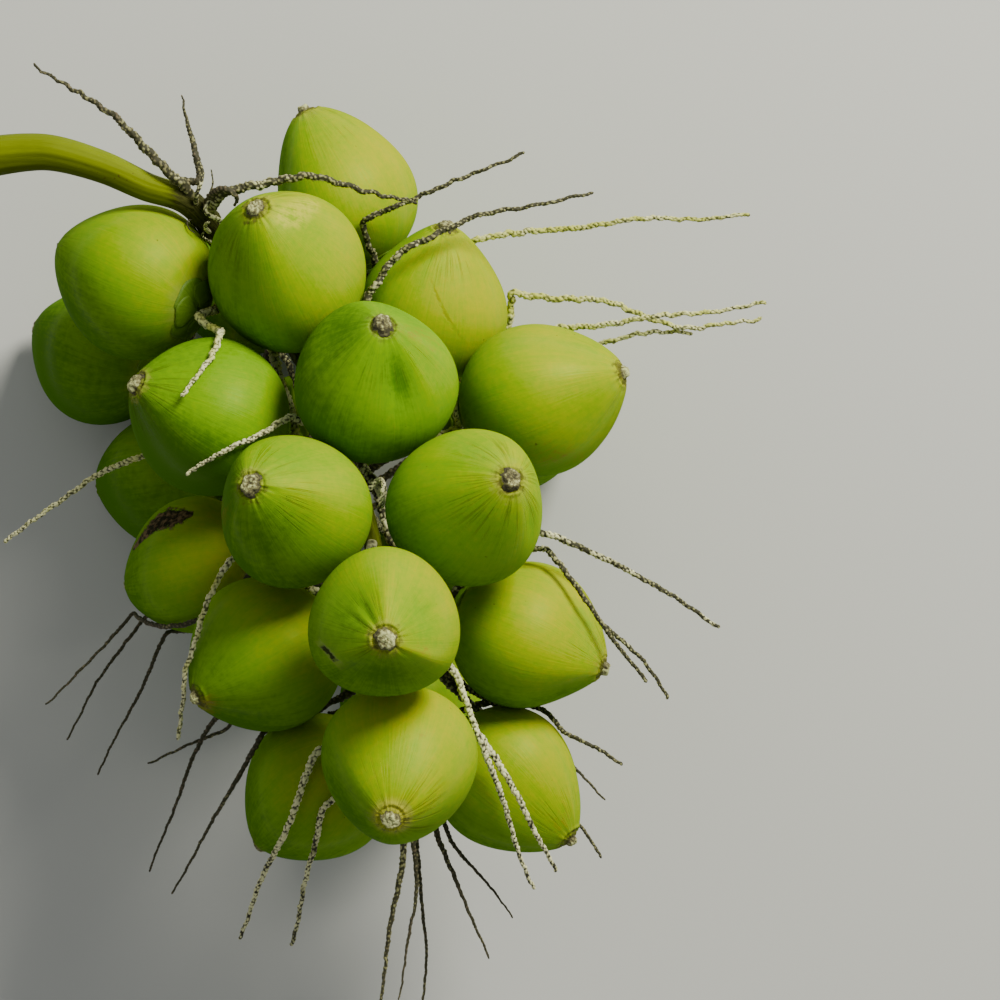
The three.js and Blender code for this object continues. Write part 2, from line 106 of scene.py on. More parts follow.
def mark(piece, name, values):
    """Keeps one number, or one direction, for every point of the piece's surface."""
    values = np.asarray(values, np.float32)
    kind, key = ("FLOAT", "value") if values.ndim == 1 else ("FLOAT_VECTOR", "vector")
    piece.data.attributes.new(name, kind, "POINT").data.foreach_set(key, values.ravel())


def new_piece(name, points, faces, material, **marks):
    """A piece with a mesh of its own, from points in millimetres, and its marks."""
    mesh = bpy.data.meshes.new(name)
    mesh.from_pydata((np.asarray(points) * MM).tolist(), [], faces)
    mesh.shade_smooth()
    mesh.materials.append(material)
    piece = bpy.data.objects.new(name, mesh)
    bpy.context.scene.collection.objects.link(piece)
    for key, values in marks.items():
        mark(piece, key, values)
    return piece


def quads_between(rows, cols, closed=True):
    """Faces between rows of points; a closed row's last point is joined to its first."""
    i, j = np.meshgrid(np.arange(rows - 1), np.arange(cols if closed else cols - 1), indexing="ij")
    k = (j + 1) % cols
    corners = [i * cols + j, i * cols + k, (i + 1) * cols + k, (i + 1) * cols + j]
    return np.stack(corners, -1).reshape(-1, 4).tolist()


def rod(name, line, radius, material):
    """A closed rod: line in millimetres, radius as one row of values round each point."""
    n, m = radius.shape
    side, up = across(line)
    turn = turns(m)
    ring = np.cos(turn)[None, :, None] * side[:, None] + np.sin(turn)[None, :, None] * up[:, None]
    skin = (line[:, None] + radius[..., None] * ring).reshape(-1, 3)
    faces = quads_between(n, m)
    for j in range(m):
        k = (j + 1) % m
        faces += [(n * m, k, j), (n * m + 1, (n - 1) * m + j, (n - 1) * m + k)]
    return new_piece(name, np.vstack([skin, line[0], line[-1]]), faces, material)


def stalk_radius(share, junction):
    share = np.asarray(share, float)
    bare = CUT_RADIUS + (NECK_RADIUS - CUT_RADIUS) * np.clip(share / junction, 0, 1) ** 0.8
    far = NECK_RADIUS + (END_RADIUS - NECK_RADIUS) * (share - junction) / (1 - junction)
    return np.where(share < junction, bare, far)


stalk_line = smooth_line(STALK)
stalk_lengths = lengths_along(stalk_line)
junction = stalk_lengths[JUNCTION * PER_SPAN] / stalk_lengths[-1]

# What all the skins share: ways to add a material's nodes, fine fibres that run the length of a
# surface, and brown specks and nicks scattered over it.


def new_group(name, inputs, outputs):
    """A node group: inputs with their first value, or None for a place, and outputs, by name."""
    group = bpy.data.node_groups.new(name, "ShaderNodeTree")
    for label, value in inputs.items():
        kind = "NodeSocketVector" if value is None else "NodeSocketFloat"
        socket = group.interface.new_socket(name=label, in_out="INPUT", socket_type=kind)
        if value is not None:
            socket.default_value = value
    for label in outputs:
        group.interface.new_socket(name=label, in_out="OUTPUT", socket_type="NodeSocketFloat")
    return group, group.nodes.new("NodeGroupInput"), group.nodes.new("NodeGroupOutput")


def feed(tree, socket, value):
    """Links a socket to another node's, or gives it a value of its own."""
    if isinstance(value, bpy.types.NodeSocket):
        tree.links.new(value, socket)
    else:
        socket.default_value = value


def add(tree, kind, settings=None, **links):
    """Adds a node with its own settings; links name a socket, or n and its number, and its source."""
    node = tree.nodes.new(kind)
    for key, value in (settings or {}).items():
        setattr(node, key, value)
    for key, value in links.items():
        socket = int(key[1:]) if key[0] == "n" else key
        feed(tree, node.inputs[socket], value)
    return node


def maths(tree, operation, a, b=0.0, c=0.0):
    return add(tree, "ShaderNodeMath", {"operation": operation}, n0=a, n1=b, n2=c).outputs[0]


def vector_maths(tree, operation, **links):
    return add(tree, "ShaderNodeVectorMath", {"operation": operation}, **links).outputs[0]


def times(tree, a, b):
    return maths(tree, "MULTIPLY", a, b)


def weighed(tree, *parts):
    """The sum of some patterns, each times its own weight."""
    total = 0.0
    for value, weight in parts:
        total = maths(tree, "MULTIPLY_ADD", value, weight, total)
    return total


def spread(tree, value, low, high, out_low=0.0, out_high=1.0):
    """The smooth step that the value makes between low and high."""
    ends = {"From Min": low, "From Max": high, "To Min": out_low, "To Max": out_high}
    settings = {"interpolation_type": "SMOOTHSTEP"}
    return add(tree, "ShaderNodeMapRange", settings, Value=value, **ends).outputs[0]


def blend(tree, share, a, b):
    """A mix of two colours, each of them red, green and blue or another node's."""
    a, b = (c if isinstance(c, bpy.types.NodeSocket) else (*c, 1) for c in (a, b))
    return add(tree, "ShaderNodeMix", {"data_type": "RGBA"}, Factor=share, n6=a, n7=b).outputs[2]


def shades(tree, value, colour, *steps):
    """Colours that take over one after the other, each between its own low and high value."""
    for low, high, other in steps:
        colour = blend(tree, spread(tree, value, low, high), colour, other)
    return colour


def noise(tree, at, scale, detail=2.0, roughness=0.5):
    links = {"Vector": at, "Scale": scale, "Detail": detail, "Roughness": roughness}
    return add(tree, "ShaderNodeTexNoise", **links).outputs[0]


def shaken(tree, at, pattern, reach):
    """The place, moved about as a noise's colour says."""
    moved = vector_maths(tree, "SCALE", n0=pattern.node.outputs["Color"], Scale=reach)
    return vector_maths(tree, "ADD", n0=at, n1=moved)


fibres, given, result = new_group("fibres", {"Vector": None, "Count": 8.0, "Length": 1.0}, ("Broad", "Fine"))
count, length = given.outputs["Count"], given.outputs["Length"]
thin = add(fibres, "ShaderNodeCombineXYZ", X=count, Y=count, Z=length).outputs[0]
drawn_out = vector_maths(fibres, "MULTIPLY", n0=given.outputs["Vector"], n1=thin)
feed(fibres, result.inputs["Broad"], noise(fibres, drawn_out, 0.7, 3.0, 0.55))
feed(fibres, result.inputs["Fine"], noise(fibres, drawn_out, 4.2, 4.0, 0.62))

specks, given, result = new_group("specks", {"Vector": None, "Per Metre": 60.0, "Amount": 0.3}, ("Mask",))
place = given.outputs["Vector"]
ragged = shaken(specks, place, noise(specks, place, 240.0), 0.006)
cells = add(specks, "ShaderNodeTexVoronoi", Vector=ragged, Scale=given.outputs["Per Metre"])
size = times(specks, spread(specks, noise(specks, place, 21.0), 0.48, 0.72), given.outputs["Amount"])
near = maths(specks, "SUBTRACT", size, cells.outputs[0])
feed(specks, result.inputs["Mask"], spread(specks, near, 0.0, 0.07))


def new_material(name):
    """A new material, its nodes and its shader, and the place on the object that it colours."""
    material = bpy.data.materials.new(name)
    material.use_nodes = True
    tree = material.node_tree
    place = add(tree, "ShaderNodeTexCoord").outputs["Object"]
    return material, tree, tree.nodes["Principled BSDF"], place


def kept(tree, name, kind="Fac"):
    """What mark has kept on the surface under this name."""
    return add(tree, "ShaderNodeAttribute", {"attribute_name": name}).outputs[kind]


def fibre_lines(tree, count, length):
    """Broad and fine fibres, so many round the surface and so broken up along it."""
    along = kept(tree, "fibre", "Vector")
    links = {"Vector": along, "Count": count, "Length": length}
    node = add(tree, "ShaderNodeGroup", {"node_tree": fibres}, **links)
    return node.outputs["Broad"], node.outputs["Fine"]


def speck_mask(tree, at, per_metre, amount):
    links = {"Vector": at, "Per Metre": per_metre, "Amount": amount}
    return add(tree, "ShaderNodeGroup", {"node_tree": specks}, **links).outputs["Mask"]


def finish(tree, shader, colour, roughness, height, strength, depth):
    """Gives the shader its colour, its roughness, and bumps up to a depth in metres."""
    feed(tree, shader.inputs["Base Color"], colour)
    feed(tree, shader.inputs["Roughness"], roughness)
    relief = add(tree, "ShaderNodeBump", Height=height, Strength=strength, Distance=depth)
    feed(tree, shader.inputs["Normal"], relief.outputs[0])


# Skin of the bare stalk and the rachis: waxy yellow-green, with long pale fibres, freckled brown, and
# bark-like where it is worn; painted light on the side that faces the key light, painted shade below.
stalk_skin, tree, shader, place = new_material("stalk_skin")
broad, fine = fibre_lines(tree, 5.0, 2.2)
cloud = noise(tree, place, 17.0, 3.0)
tone_and_light = weighed(tree, (cloud, 0.36), (fine, 0.24), (kept(tree, "sunned_and_painted_light"), 1.0))
colour = shades(
    tree, tone_and_light, (0.040, 0.042, 0.003),
    (-0.1, 0.5, (0.095, 0.125, 0.0)),
    (0.5, 1.05, (0.19, 0.24, 0.0)),
)
colour = blend(tree, speck_mask(tree, place, 170.0, 0.22), colour, (0.07, 0.045, 0.015))
bark = shades(tree, fine, (0.010, 0.010, 0.003), (0.38, 0.62, (0.060, 0.062, 0.014)))
worn = maths(tree, "ADD", kept(tree, "worn"), broad)
colour = blend(tree, spread(tree, worn, 0.8, 1.2), colour, bark)
shader.inputs["Specular IOR Level"].default_value = 0.22
shader.inputs["Specular Tint"].default_value = (0.75, 0.80, 0.25, 1)
finish(tree, shader, colour, spread(tree, fine, 0.3, 0.8, 0.48, 0.66), fine, 0.5, 0.0006)

# The cut: pale moist pith, browning in patches, dotted with the dark ends of its strands.
cut_face, tree, shader, place = new_material("stalk_cut")
ends = add(tree, "ShaderNodeTexVoronoi", Vector=place, Scale=620.0).outputs[0]
colour = shades(tree, noise(tree, place, 90.0, 4.0), (0.56, 0.50, 0.27), (0.3, 0.75, (0.40, 0.31, 0.13)))
colour = blend(tree, spread(tree, ends, 0.34, 0.12), colour, (0.24, 0.15, 0.055))
finish(tree, shader, colour, 0.72, ends, 0.6, 0.0009)

# The way to the sun, close to the key lamp's: it reached the right side, the upper end and the front
# of the bunch. Colour set by how far a skin faces it is painted light and shade, with some sun gold.
SUN = unit(np.array((0.58, 0.54, 0.6)))


def facing_sun(piece):
    """How far each point of the surface faces the sun, from -1 to 1."""
    normals = np.zeros(len(piece.data.vertices) * 3, np.float32)
    piece.data.vertices.foreach_get("normal", normals)
    return normals.reshape(-1, 3) @ SUN


def stalk_piece(start, end, sides, step):
    """One stretch of the stalk, faintly ribbed and never quite round."""
    parts = int((end - start) * stalk_lengths[-1] / step)
    line = even_steps(stalk_line, parts, start, end)
    share = np.linspace(start, end, parts + 1)
    s = share * stalk_lengths[-1]
    turn = turns(sides)[None]
    ribs = 0.012 * np.sin(9 * turn + 1.3 * np.sin(s / 70)[:, None])
    ribs = ribs + 0.008 * np.sin(17 * turn + 2.0 * np.cos(s / 45)[:, None])
    flat = 0.018 * np.cos(2 * turn + 0.6) + 0.01 * np.sin(3 * turn + (s / 95)[:, None])
    radius = stalk_radius(share, junction)[:, None] * (0.985 + ribs + flat)
    return line, s, turn, radius


def mark_fibres(piece, s, turn):
    """Keeps the way round the rod and the length along it, and gives that length back."""
    far = np.r_[np.repeat(s, turn.size), s[0], s[-1]]
    way = [np.r_[np.tile(wave(turn[0]), len(s)), 0, 0] for wave in (np.cos, np.sin)]
    mark(piece, "fibre", np.stack([*way, far / 100], 1))
    return far


line, s, turn, radius = stalk_piece(0.0, junction + 0.004, sides=72, step=2.0)
# the cut's edge is a little rounded, the skin brown next to it and bark-like towards the neck
radius[0] *= 0.94
radius[1] *= 0.985
stalk = rod("stalk", line, radius, stalk_skin)
far = mark_fibres(stalk, s, turn)
mark(stalk, "worn", 0.5 * hump(far, 0, 9) + 0.95 * np.clip((far - far.max() + 42) / 34, 0, 1))
# the side facing the key light is painted lighter and the underside darker: painted light and shade
mark(stalk, "sunned_and_painted_light", 0.12 + 0.5 * facing_sun(stalk))
stalk.data.materials.append(cut_face)
for face in stalk.data.polygons:
    if len(face.vertices) == 3 and face.center.x < STALK[1][0] * MM:
        face.material_index = 1
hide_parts("stalk")
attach(stalk, "root")

# The nuts: full-grown green coconuts, 141 to 162 mm wide, each a smooth waxy husk with three
# blunt ridges, drawn out a little at the tip, where the flower's dry style is left. Each grew on
# the side of a spikelet, and is held there by the calyx scales round its base.
# Each row: centre, the way the tip points, width, length of the tip's half in half widths,
# turn of the ridges, and how golden the husk is, partly its own tone and partly painted light and
# shade, set nut by nut.
NUTS = {
    "a": ((-11, 344, 165), (-0.42, 0.9, 0.08), 144, 1.38, 60, 0.56),
    "b": ((-220, 259, 246), (-0.8, 0.38, -0.45), 158, 1.18, 90, 0.38),
    "c": ((-66, 264, 296), (-0.27, 0.58, 0.77), 159, 1.28, 83, 0.6),
    "d": ((77, 231, 224.4), (0.16, 0.89, 0.43), 152, 1.16, 40, 0.68),
    "e": ((22, 153.8, 375.9), (0.11, 0.58, 0.81), 162, 1.1, 62, 0.15),
    "f": ((180.9, 139, 292.2), (0.91, 0.27, 0.32), 155, 1.19, 75, 0.64),
    "g": ((-142, 120, 315), (-0.8, 0.37, 0.47), 159, 1.08, 75, -0.08),
    "h": ((-53, 27, 440), (-0.38, 0.25, 0.89), 150, 1.3, 123, 0.35),
    "i": ((112.4, 30.5, 423.3), (0.42, 0.26, 0.87), 155, 1.3, 62, 0.5),
    "j": ((35, -81, 510), (0.04, -0.13, 0.99), 147, 1.2, 90, 0.52),
    "k": ((170, -98, 320), (0.92, -0.36, 0.17), 149, 1.1, 110, 0.6),
    "l": ((-86, -117, 350), (-0.77, -0.45, 0.45), 156, 1.05, 60, 0.34),
    "m": ((48, -216, 435), (-0.06, -0.49, 0.87), 153, 1.3, 30, 0.6),
    "n": ((151, -239, 290), (0.7, -0.66, 0.25), 143, 1.24, 40, 0.58),
    "o": ((-36, -250, 290), (-0.64, -0.62, -0.42), 150, 1.16, 90, 0.4),
    "p": ((-158, -30, 225), (-0.84, -0.22, -0.5), 141, 1.2, 60, 0.45),
    "q": ((-268, 190, 72.7), (-0.75, 0.3, -0.45), 146, 1.15, 0, 0.05),
    "r": ((-200, 60, 71.4), (-0.8, -0.1, -0.5), 143, 1.15, 0, 0.05),
    "v1": ((-116, 262, 73.6), (-0.25, 0.75, -0.6), 146, 1.15, 0, 0.2),
    "v2": ((37.3, 225.9, 78.5), (0.25, 0.6, -0.75), 148, 1.15, 0, 0.2),
    "v3": ((158, 118, 74.8), (0.75, 0.2, -0.6), 148, 1.15, 0, 0.3),
    "v4": ((-52, 98, 83.8), (-0.5, 0.2, -0.8), 146, 1.15, 0, 0.1),
    "v5": ((90, -20, 78.5), (0.6, -0.25, -0.75), 148, 1.15, 0, 0.2),
    "v6": ((-84, -62, 83), (-0.55, -0.2, -0.8), 148, 1.15, 0, 0.15),
    "v7": ((51, -176, 75.3), (0.1, -0.75, -0.65), 148, 1.15, 0, 0.2),
}


def nut_axes(tip):
    w = unit(np.array(tip, float))
    side = np.array((0, 0, 1.0)) if abs(w[2]) < 0.9 else np.array((0, 1.0, 0))
    u = unit(np.cross(side, w))
    return np.stack([u, np.cross(w, u), w])


# Of the half width: the base's half, the flat of the shoulder, the drawn-out tip and the ridges;
# then how far round the tip it is drawn out, and the calyx's thickness and edge.
BASE_HALF, SHOULDER, DRAWN, RIDGE = 0.98, 0.05, 0.07, 0.024
DRAWN_REACH = 0.28
CALYX, CALYX_EDGE = 3.0, math.radians(154)


def husk_radius(theta, phi, form, calyx=CALYX):
    """Distance of the husk from the nut's centre, by the angles from and round the tip."""
    width, length, roll = form
    a = width / 2
    fore = theta < math.pi / 2
    oval = 1 / np.hypot(np.sin(theta) / a, np.cos(theta) / (a * np.where(fore, length, BASE_HALF)))
    flat = np.where(fore, 1 - SHOULDER * np.sin(2 * theta) ** 2, 1)
    drawn = DRAWN * a * hump(theta, 0, DRAWN_REACH)
    ridge = RIDGE * np.sin(theta) ** 2 * (1 + 0.8 * np.cos(theta))
    ridged = (oval * flat + drawn) * (1 + ridge * np.cos(3 * (phi - roll)))
    return ridged + calyx / (1 + np.exp((CALYX_EDGE - theta) / 0.035))


def ruffled(tree, value, pattern, amount):
    """The value, raised and lowered by a pattern whose middle is a half."""
    return maths(tree, "MULTIPLY_ADD", maths(tree, "SUBTRACT", pattern, 0.5), amount, value)


def unsigned(tree, value):
    return maths(tree, "ABSOLUTE", value)


def largest(tree, first, *others):
    for other in others:
        first = maths(tree, "MAXIMUM", first, other)
    return first


# Husk: deep green and golden, with painted shade on the side turned from the key light and in its
# hollows and painted light where it faces it, where the sun also reached it; with fine fibres that run
# from tip to calyx, creases round the tip, brown flushes, nicks, and on one nut a corky scar.
husk, tree, shader, place = new_material("husk")
broad, fine = fibre_lines(tree, 9.0, 1.3)
creases = fibre_lines(tree, 4.4, 0.9)[1]
dots = speck_mask(tree, place, 95.0, 0.13)
cloud = noise(tree, place, 11.0)
mottle = noise(tree, place, 160.0, 4.0, 0.6)
from_tip = add(tree, "ShaderNodeSeparateXYZ", Vector=kept(tree, "fibre", "Vector")).outputs[2]
flushed = kept(tree, "flush")
ripe_and_lit = kept(tree, "sunned_and_painted_light")
for pattern, amount in ((cloud, 0.5), (broad, 0.34), (fine, 0.46), (mottle, 0.58)):
    ripe_and_lit = ruffled(tree, ripe_and_lit, pattern, amount)
colour = shades(
    tree, ripe_and_lit, (0.055, 0.170, 0.0),
    (-0.05, 0.5, (0.155, 0.335, 0.0)),
    (0.40, 1.0, (0.285, 0.385, 0.0)),
    (0.8, 1.35, (0.42, 0.40, 0.0)),
)
# dark creases run out from the tip in places, and the base is pale
tipwards = times(tree, spread(tree, from_tip, 0.30, 0.07), spread(tree, cloud, 0.42, 0.60, 0.1, 1.0))
wrinkle = times(tree, spread(tree, creases, 0.50, 0.36), tipwards)
colour = blend(tree, times(tree, wrinkle, 0.6), colour, (0.06, 0.085, 0.0))
pale = spread(tree, weighed(tree, (broad, 0.10), (from_tip, 1.0)), 0.84, 0.96)
colour = blend(tree, times(tree, pale, 0.7), colour, (0.36, 0.40, 0.08))
# a flush above nought is brown
worn = ruffled(tree, ruffled(tree, flushed, fine, 1.6), mottle, 1.4)
colour = blend(tree, spread(tree, worn, 0.3, 1.1, 0.0, 0.8), colour, (0.25, 0.17, 0.02))
# round the stub lies a pale lip, and inside it a withered ring
collar = ruffled(tree, weighed(tree, (fine, 0.04), (from_tip, 1.0)), mottle, 0.10)
lip = times(tree, spread(tree, collar, 0.100, 0.066), spread(tree, cloud, 0.40, 0.60, 0.1, 0.55))
colour = blend(tree, lip, colour, (0.42, 0.40, 0.07))
withered = spread(tree, collar, 0.078, 0.050, 0.0, 0.85)
withered = times(tree, withered, spread(tree, flushed, -0.9, -0.3, 0.15, 1.0))
colour = blend(tree, withered, colour, (0.085, 0.075, 0.016))
# a flush below nought is a pale scuff
scuff = spread(tree, weighed(tree, (creases, 0.5), (mottle, 0.5)), 0.40, 0.58)
scuff = times(tree, spread(tree, flushed, -0.1, -0.7), scuff)
colour = blend(tree, times(tree, scuff, 0.75), colour, (0.52, 0.50, 0.05))
colour = blend(tree, times(tree, dots, 0.75), colour, (0.07, 0.06, 0.012))
cork = spread(tree, ruffled(tree, kept(tree, "scar"), mottle, 0.9), 0.42, 0.58)
bark = shades(tree, mottle, (0.012, 0.009, 0.005), (0.44, 0.64, (0.17, 0.11, 0.055)))
colour = blend(tree, cork, colour, bark)


def within(tree, at, centre, turned, half):
    """Three numbers that run from -1 to 1 through a box: its centre, turn in degrees, half size."""
    links = {"Location": centre, "Rotation": (0.0, 0.0, math.radians(turned)), "Scale": half}
    box = add(tree, "ShaderNodeMapping", {"vector_type": "TEXTURE"}, Vector=at, **links)
    return add(tree, "ShaderNodeSeparateXYZ", Vector=box.outputs[0]).outputs


# one nut carries a short gouge, dark with a pale lip
GOUGE = ((-0.0142, -0.1052, 0.5626), -45, (0.0098, 0.0020, 0.02))
ragged = shaken(tree, place, mottle, 0.0042)
reach = largest(tree, *(unsigned(tree, v) for v in within(tree, ragged, *GOUGE)))
reach = ruffled(tree, reach, fine, 1.6)
cut = spread(tree, reach, 1.15, 0.55)
colour = blend(tree, times(tree, spread(tree, reach, 2.1, 1.2), 0.28), colour, (0.34, 0.36, 0.10))
colour = blend(tree, cut, colour, (0.03, 0.04, 0.008))
# and another a long faint crease that runs aslant and is bowed to one side
CREASE = ((0.0895, 0.2280, 0.3000), -63, (0.044, 0.0022, 0.040))
x, y, z = within(tree, place, *CREASE)
bowed = ruffled(tree, maths(tree, "MULTIPLY_ADD", times(tree, x, x), -2.2, y), mottle, 2.4)
reach = largest(tree, unsigned(tree, x), unsigned(tree, z))
fold = times(tree, spread(tree, unsigned(tree, bowed), 1.3, 0.1), spread(tree, reach, 1.0, 0.3))
fold = times(tree, fold, spread(tree, mottle, 0.40, 0.58, 0.4, 1.0))
colour = blend(tree, times(tree, fold, 0.45), colour, (0.12, 0.13, 0.0))
# the wax shines, less where the skin turns away, and not on specks, cork and cuts
roughness = spread(tree, weighed(tree, (cloud, 0.5), (fine, 0.5)), 0.3, 0.7, 0.36, 0.50)
edge_on = add(tree, "ShaderNodeLayerWeight", Blend=0.5).outputs["Facing"]
roughness = largest(tree, roughness, spread(tree, edge_on, 0.20, 0.72, 0.0, 0.95))
dull = times(tree, largest(tree, cork, cut, dots), 0.9)
lift = weighed(
    tree, (fine, 0.55), (mottle, 0.35), (wrinkle, -0.9), (times(tree, cork, mottle), 4.0),
    (largest(tree, cut, times(tree, fold, 0.2)), -3.0),
)
shader.inputs["Specular IOR Level"].default_value = 0.24
shader.inputs["Specular Tint"].default_value = (0.72, 0.80, 0.20, 1)
finish(tree, shader, colour, largest(tree, roughness, dull), lift, 0.7, 0.0007)

# Dry stub of the style: what is left of the flower's tip, a crumbling fibrous knob that stands in the
# husk's own tip, pale grey on top and dark in its cracks, the pale of its raised lumps and top and the
# dark at its foot partly painted light and shade.
dry_brown, tree, shader, place = new_material("dry_tip")
grain = noise(tree, place, 330.0, 5.0, 0.7)
colour = shades(
    tree, ruffled(tree, kept(tree, "edge"), grain, 2.2), (0.050, 0.044, 0.018),
    (0.05, 0.42, (0.19, 0.175, 0.070)),
    (0.42, 0.80, (0.60, 0.63, 0.27)),
)
finish(tree, shader, colour, 0.86, grain, 0.9, 0.0012)

# Calyx scales: six tough round scales that cup the nut's base, three over the gaps of three,
# green and fibrous with a thin brown dry rim.
scale_skin, tree, shader, place = new_material("calyx_scale")
fine = fibre_lines(tree, 16.0, 3.0)[1]
colour = shades(tree, fine, (0.085, 0.19, 0.0), (0.35, 0.7, (0.17, 0.30, 0.008)))
rim = weighed(tree, (noise(tree, place, 150.0, 4.0), 0.5), (kept(tree, "edge"), 1.0))
colour = blend(tree, times(tree, spread(tree, rim, 1.22, 1.50), 0.8), colour, (0.14, 0.13, 0.03))
finish(tree, shader, colour, 0.6, fine, 0.5, 0.0006)


def from_centre(theta, phi):
    """The direction at these angles from and round the tip, on the nut's own axes."""
    return np.stack([np.sin(theta) * np.cos(phi), np.sin(theta) * np.sin(phi), np.cos(theta)], -1)


def on_fibres(theta, phi):
    """The way round the nut, and the share of the way from its tip to its base."""
    return np.stack([np.cos(phi), np.sin(phi), theta / math.pi], -1)


# A nut that rests on the ground is pressed flat by a hair: below a height, by less than a depth.
PRESSED_BELOW, PRESSED_BY = 2.0, 1.6


def lie_flat(points):
    low = points[:, 2] < PRESSED_BELOW
    sunk = (PRESSED_BELOW - points[low, 2]) / PRESSED_BY
    points[low, 2] = PRESSED_BELOW - PRESSED_BY * np.tanh(sunk)
    return points


# The husk's mesh has a third of its rings close to the tip. Round the stub stands a lip with a
# groove inside it: how far each is from the tip, and how wide.
SEGMENTS, RINGS, TIP_RINGS, TIP_ANGLE = 96, 78, 25, 0.26
LIP, GROOVE = (15.2, 1.7), (12.2, 1.3)


def wrapped(angle):
    """The same angle, between minus half a turn and half a turn."""
    return (angle + math.pi) % math.tau - math.pi


def husk_piece(name, centre, axes, form, gold_and_painted_light, keel, folds, luck):
    """The husk as a ball, each point moved to its distance from the nut's centre."""
    bpy.ops.mesh.primitive_uv_sphere_add(segments=SEGMENTS, ring_count=RINGS, radius=1)
    piece = bpy.context.object
    piece.name = piece.data.name = name
    count = len(piece.data.vertices)
    ball = np.zeros(count * 3)
    piece.data.vertices.foreach_get("co", ball)
    ball = ball.reshape(-1, 3)
    ring = np.arccos(np.clip(ball[:, 2], -1, 1)) / math.pi
    theta = np.interp(ring, (0, TIP_RINGS / RINGS, 1), (0, TIP_ANGLE, math.pi))
    phi = np.arctan2(ball[:, 1], ball[:, 0])
    r = husk_radius(theta, phi, form, 0.0)
    # the ridges stand out between hollows, deepest part of the way from tip to middle
    hollow = keel * (np.sqrt(np.sin(1.5 * (phi - form[2])) ** 2 + 0.012) - 0.11)
    deepest = hump(theta, 0.58, 0.38)
    r = r - hollow * (0.80 * deepest + 0.35 * hump(theta, 1.05, 0.8, 4))
    # hollows and folds are painted darker, and swellings lighter: painted shade and light
    sunk = 0.05 * hollow * deepest
    for turned, half, depth, down, reach in folds:
        off = wrapped(phi - math.radians(turned))
        fold = depth * hump(off, 0, math.radians(half)) * hump(theta, down, reach)
        r, sunk = r - fold, sunk + 0.09 * fold
    # creases that run out from the stub, its lip and groove, and slow swells
    phase = luck.uniform(0, math.tau, 8)
    pucker = sum(np.sin(k * phi + p) for k, p in zip((7, 11, 17, 23), phase))
    from_tip = theta * r
    r = r + 0.20 * pucker * hump(theta, 0.15, 0.12) * (from_tip > 3)
    uneven = np.clip(0.45 + 0.65 * np.sin(phi + phase[1]) + 0.35 * np.sin(3 * phi + phase[2]), 0, 1.4)
    r = r + 1.0 * uneven * hump(from_tip, *LIP) - 1.3 * hump(from_tip, *GROOVE)
    swell = np.sin(2 * phi + phase[4]) * np.sin(2 * theta + phase[5])
    swell = swell + np.sin(phi + phase[6]) * np.cos(3 * theta + phase[7])
    r = r + 0.45 * swell * np.sin(theta)
    outward = from_centre(theta, phi)
    at = lie_flat(centre + (r[:, None] * outward) @ axes)
    piece.data.vertices.foreach_set("co", (at * MM).ravel())
    piece.data.update()
    mark(piece, "fibre", on_fibres(theta, phi))
    # facing the light lifts the colour: painted light and shade on the facets, added to the gold
    sunned_and_painted_light = 0.08 + 0.72 * gold_and_painted_light + 0.52 * facing_sun(piece) - sunk
    mark(piece, "sunned_and_painted_light", np.clip(sunned_and_painted_light, -0.3, 1.3))
    mark(piece, "edge", np.zeros(count))
    piece.data.shade_smooth()
    piece.data.materials.append(husk)
    return piece, at, outward @ axes


# The stub's outline, from the groove to the middle of its top: how far out, and how high. Then
# the points round it, the lumps of its broken top, how far out those are spread, and the heights
# of its foot, its shoulder and its top.
STUB_OUTLINE = (
    (12.6, -2.2), (11.6, -0.6), (10.9, 0.9), (10.5, 2.4), (10.0, 3.8), (9.3, 4.9), (8.3, 5.6),
    (7.2, 5.8), (6.1, 5.7), (5.0, 5.5), (3.9, 5.4), (2.8, 5.3), (1.7, 5.2), (0.8, 5.2),
)
STUB_SIDES, LUMPS, LUMP_REACH = 44, 46, 9.8
FOOT, SHOULDER_HEIGHT, TOP_HEIGHT = 2, 5, 6.7


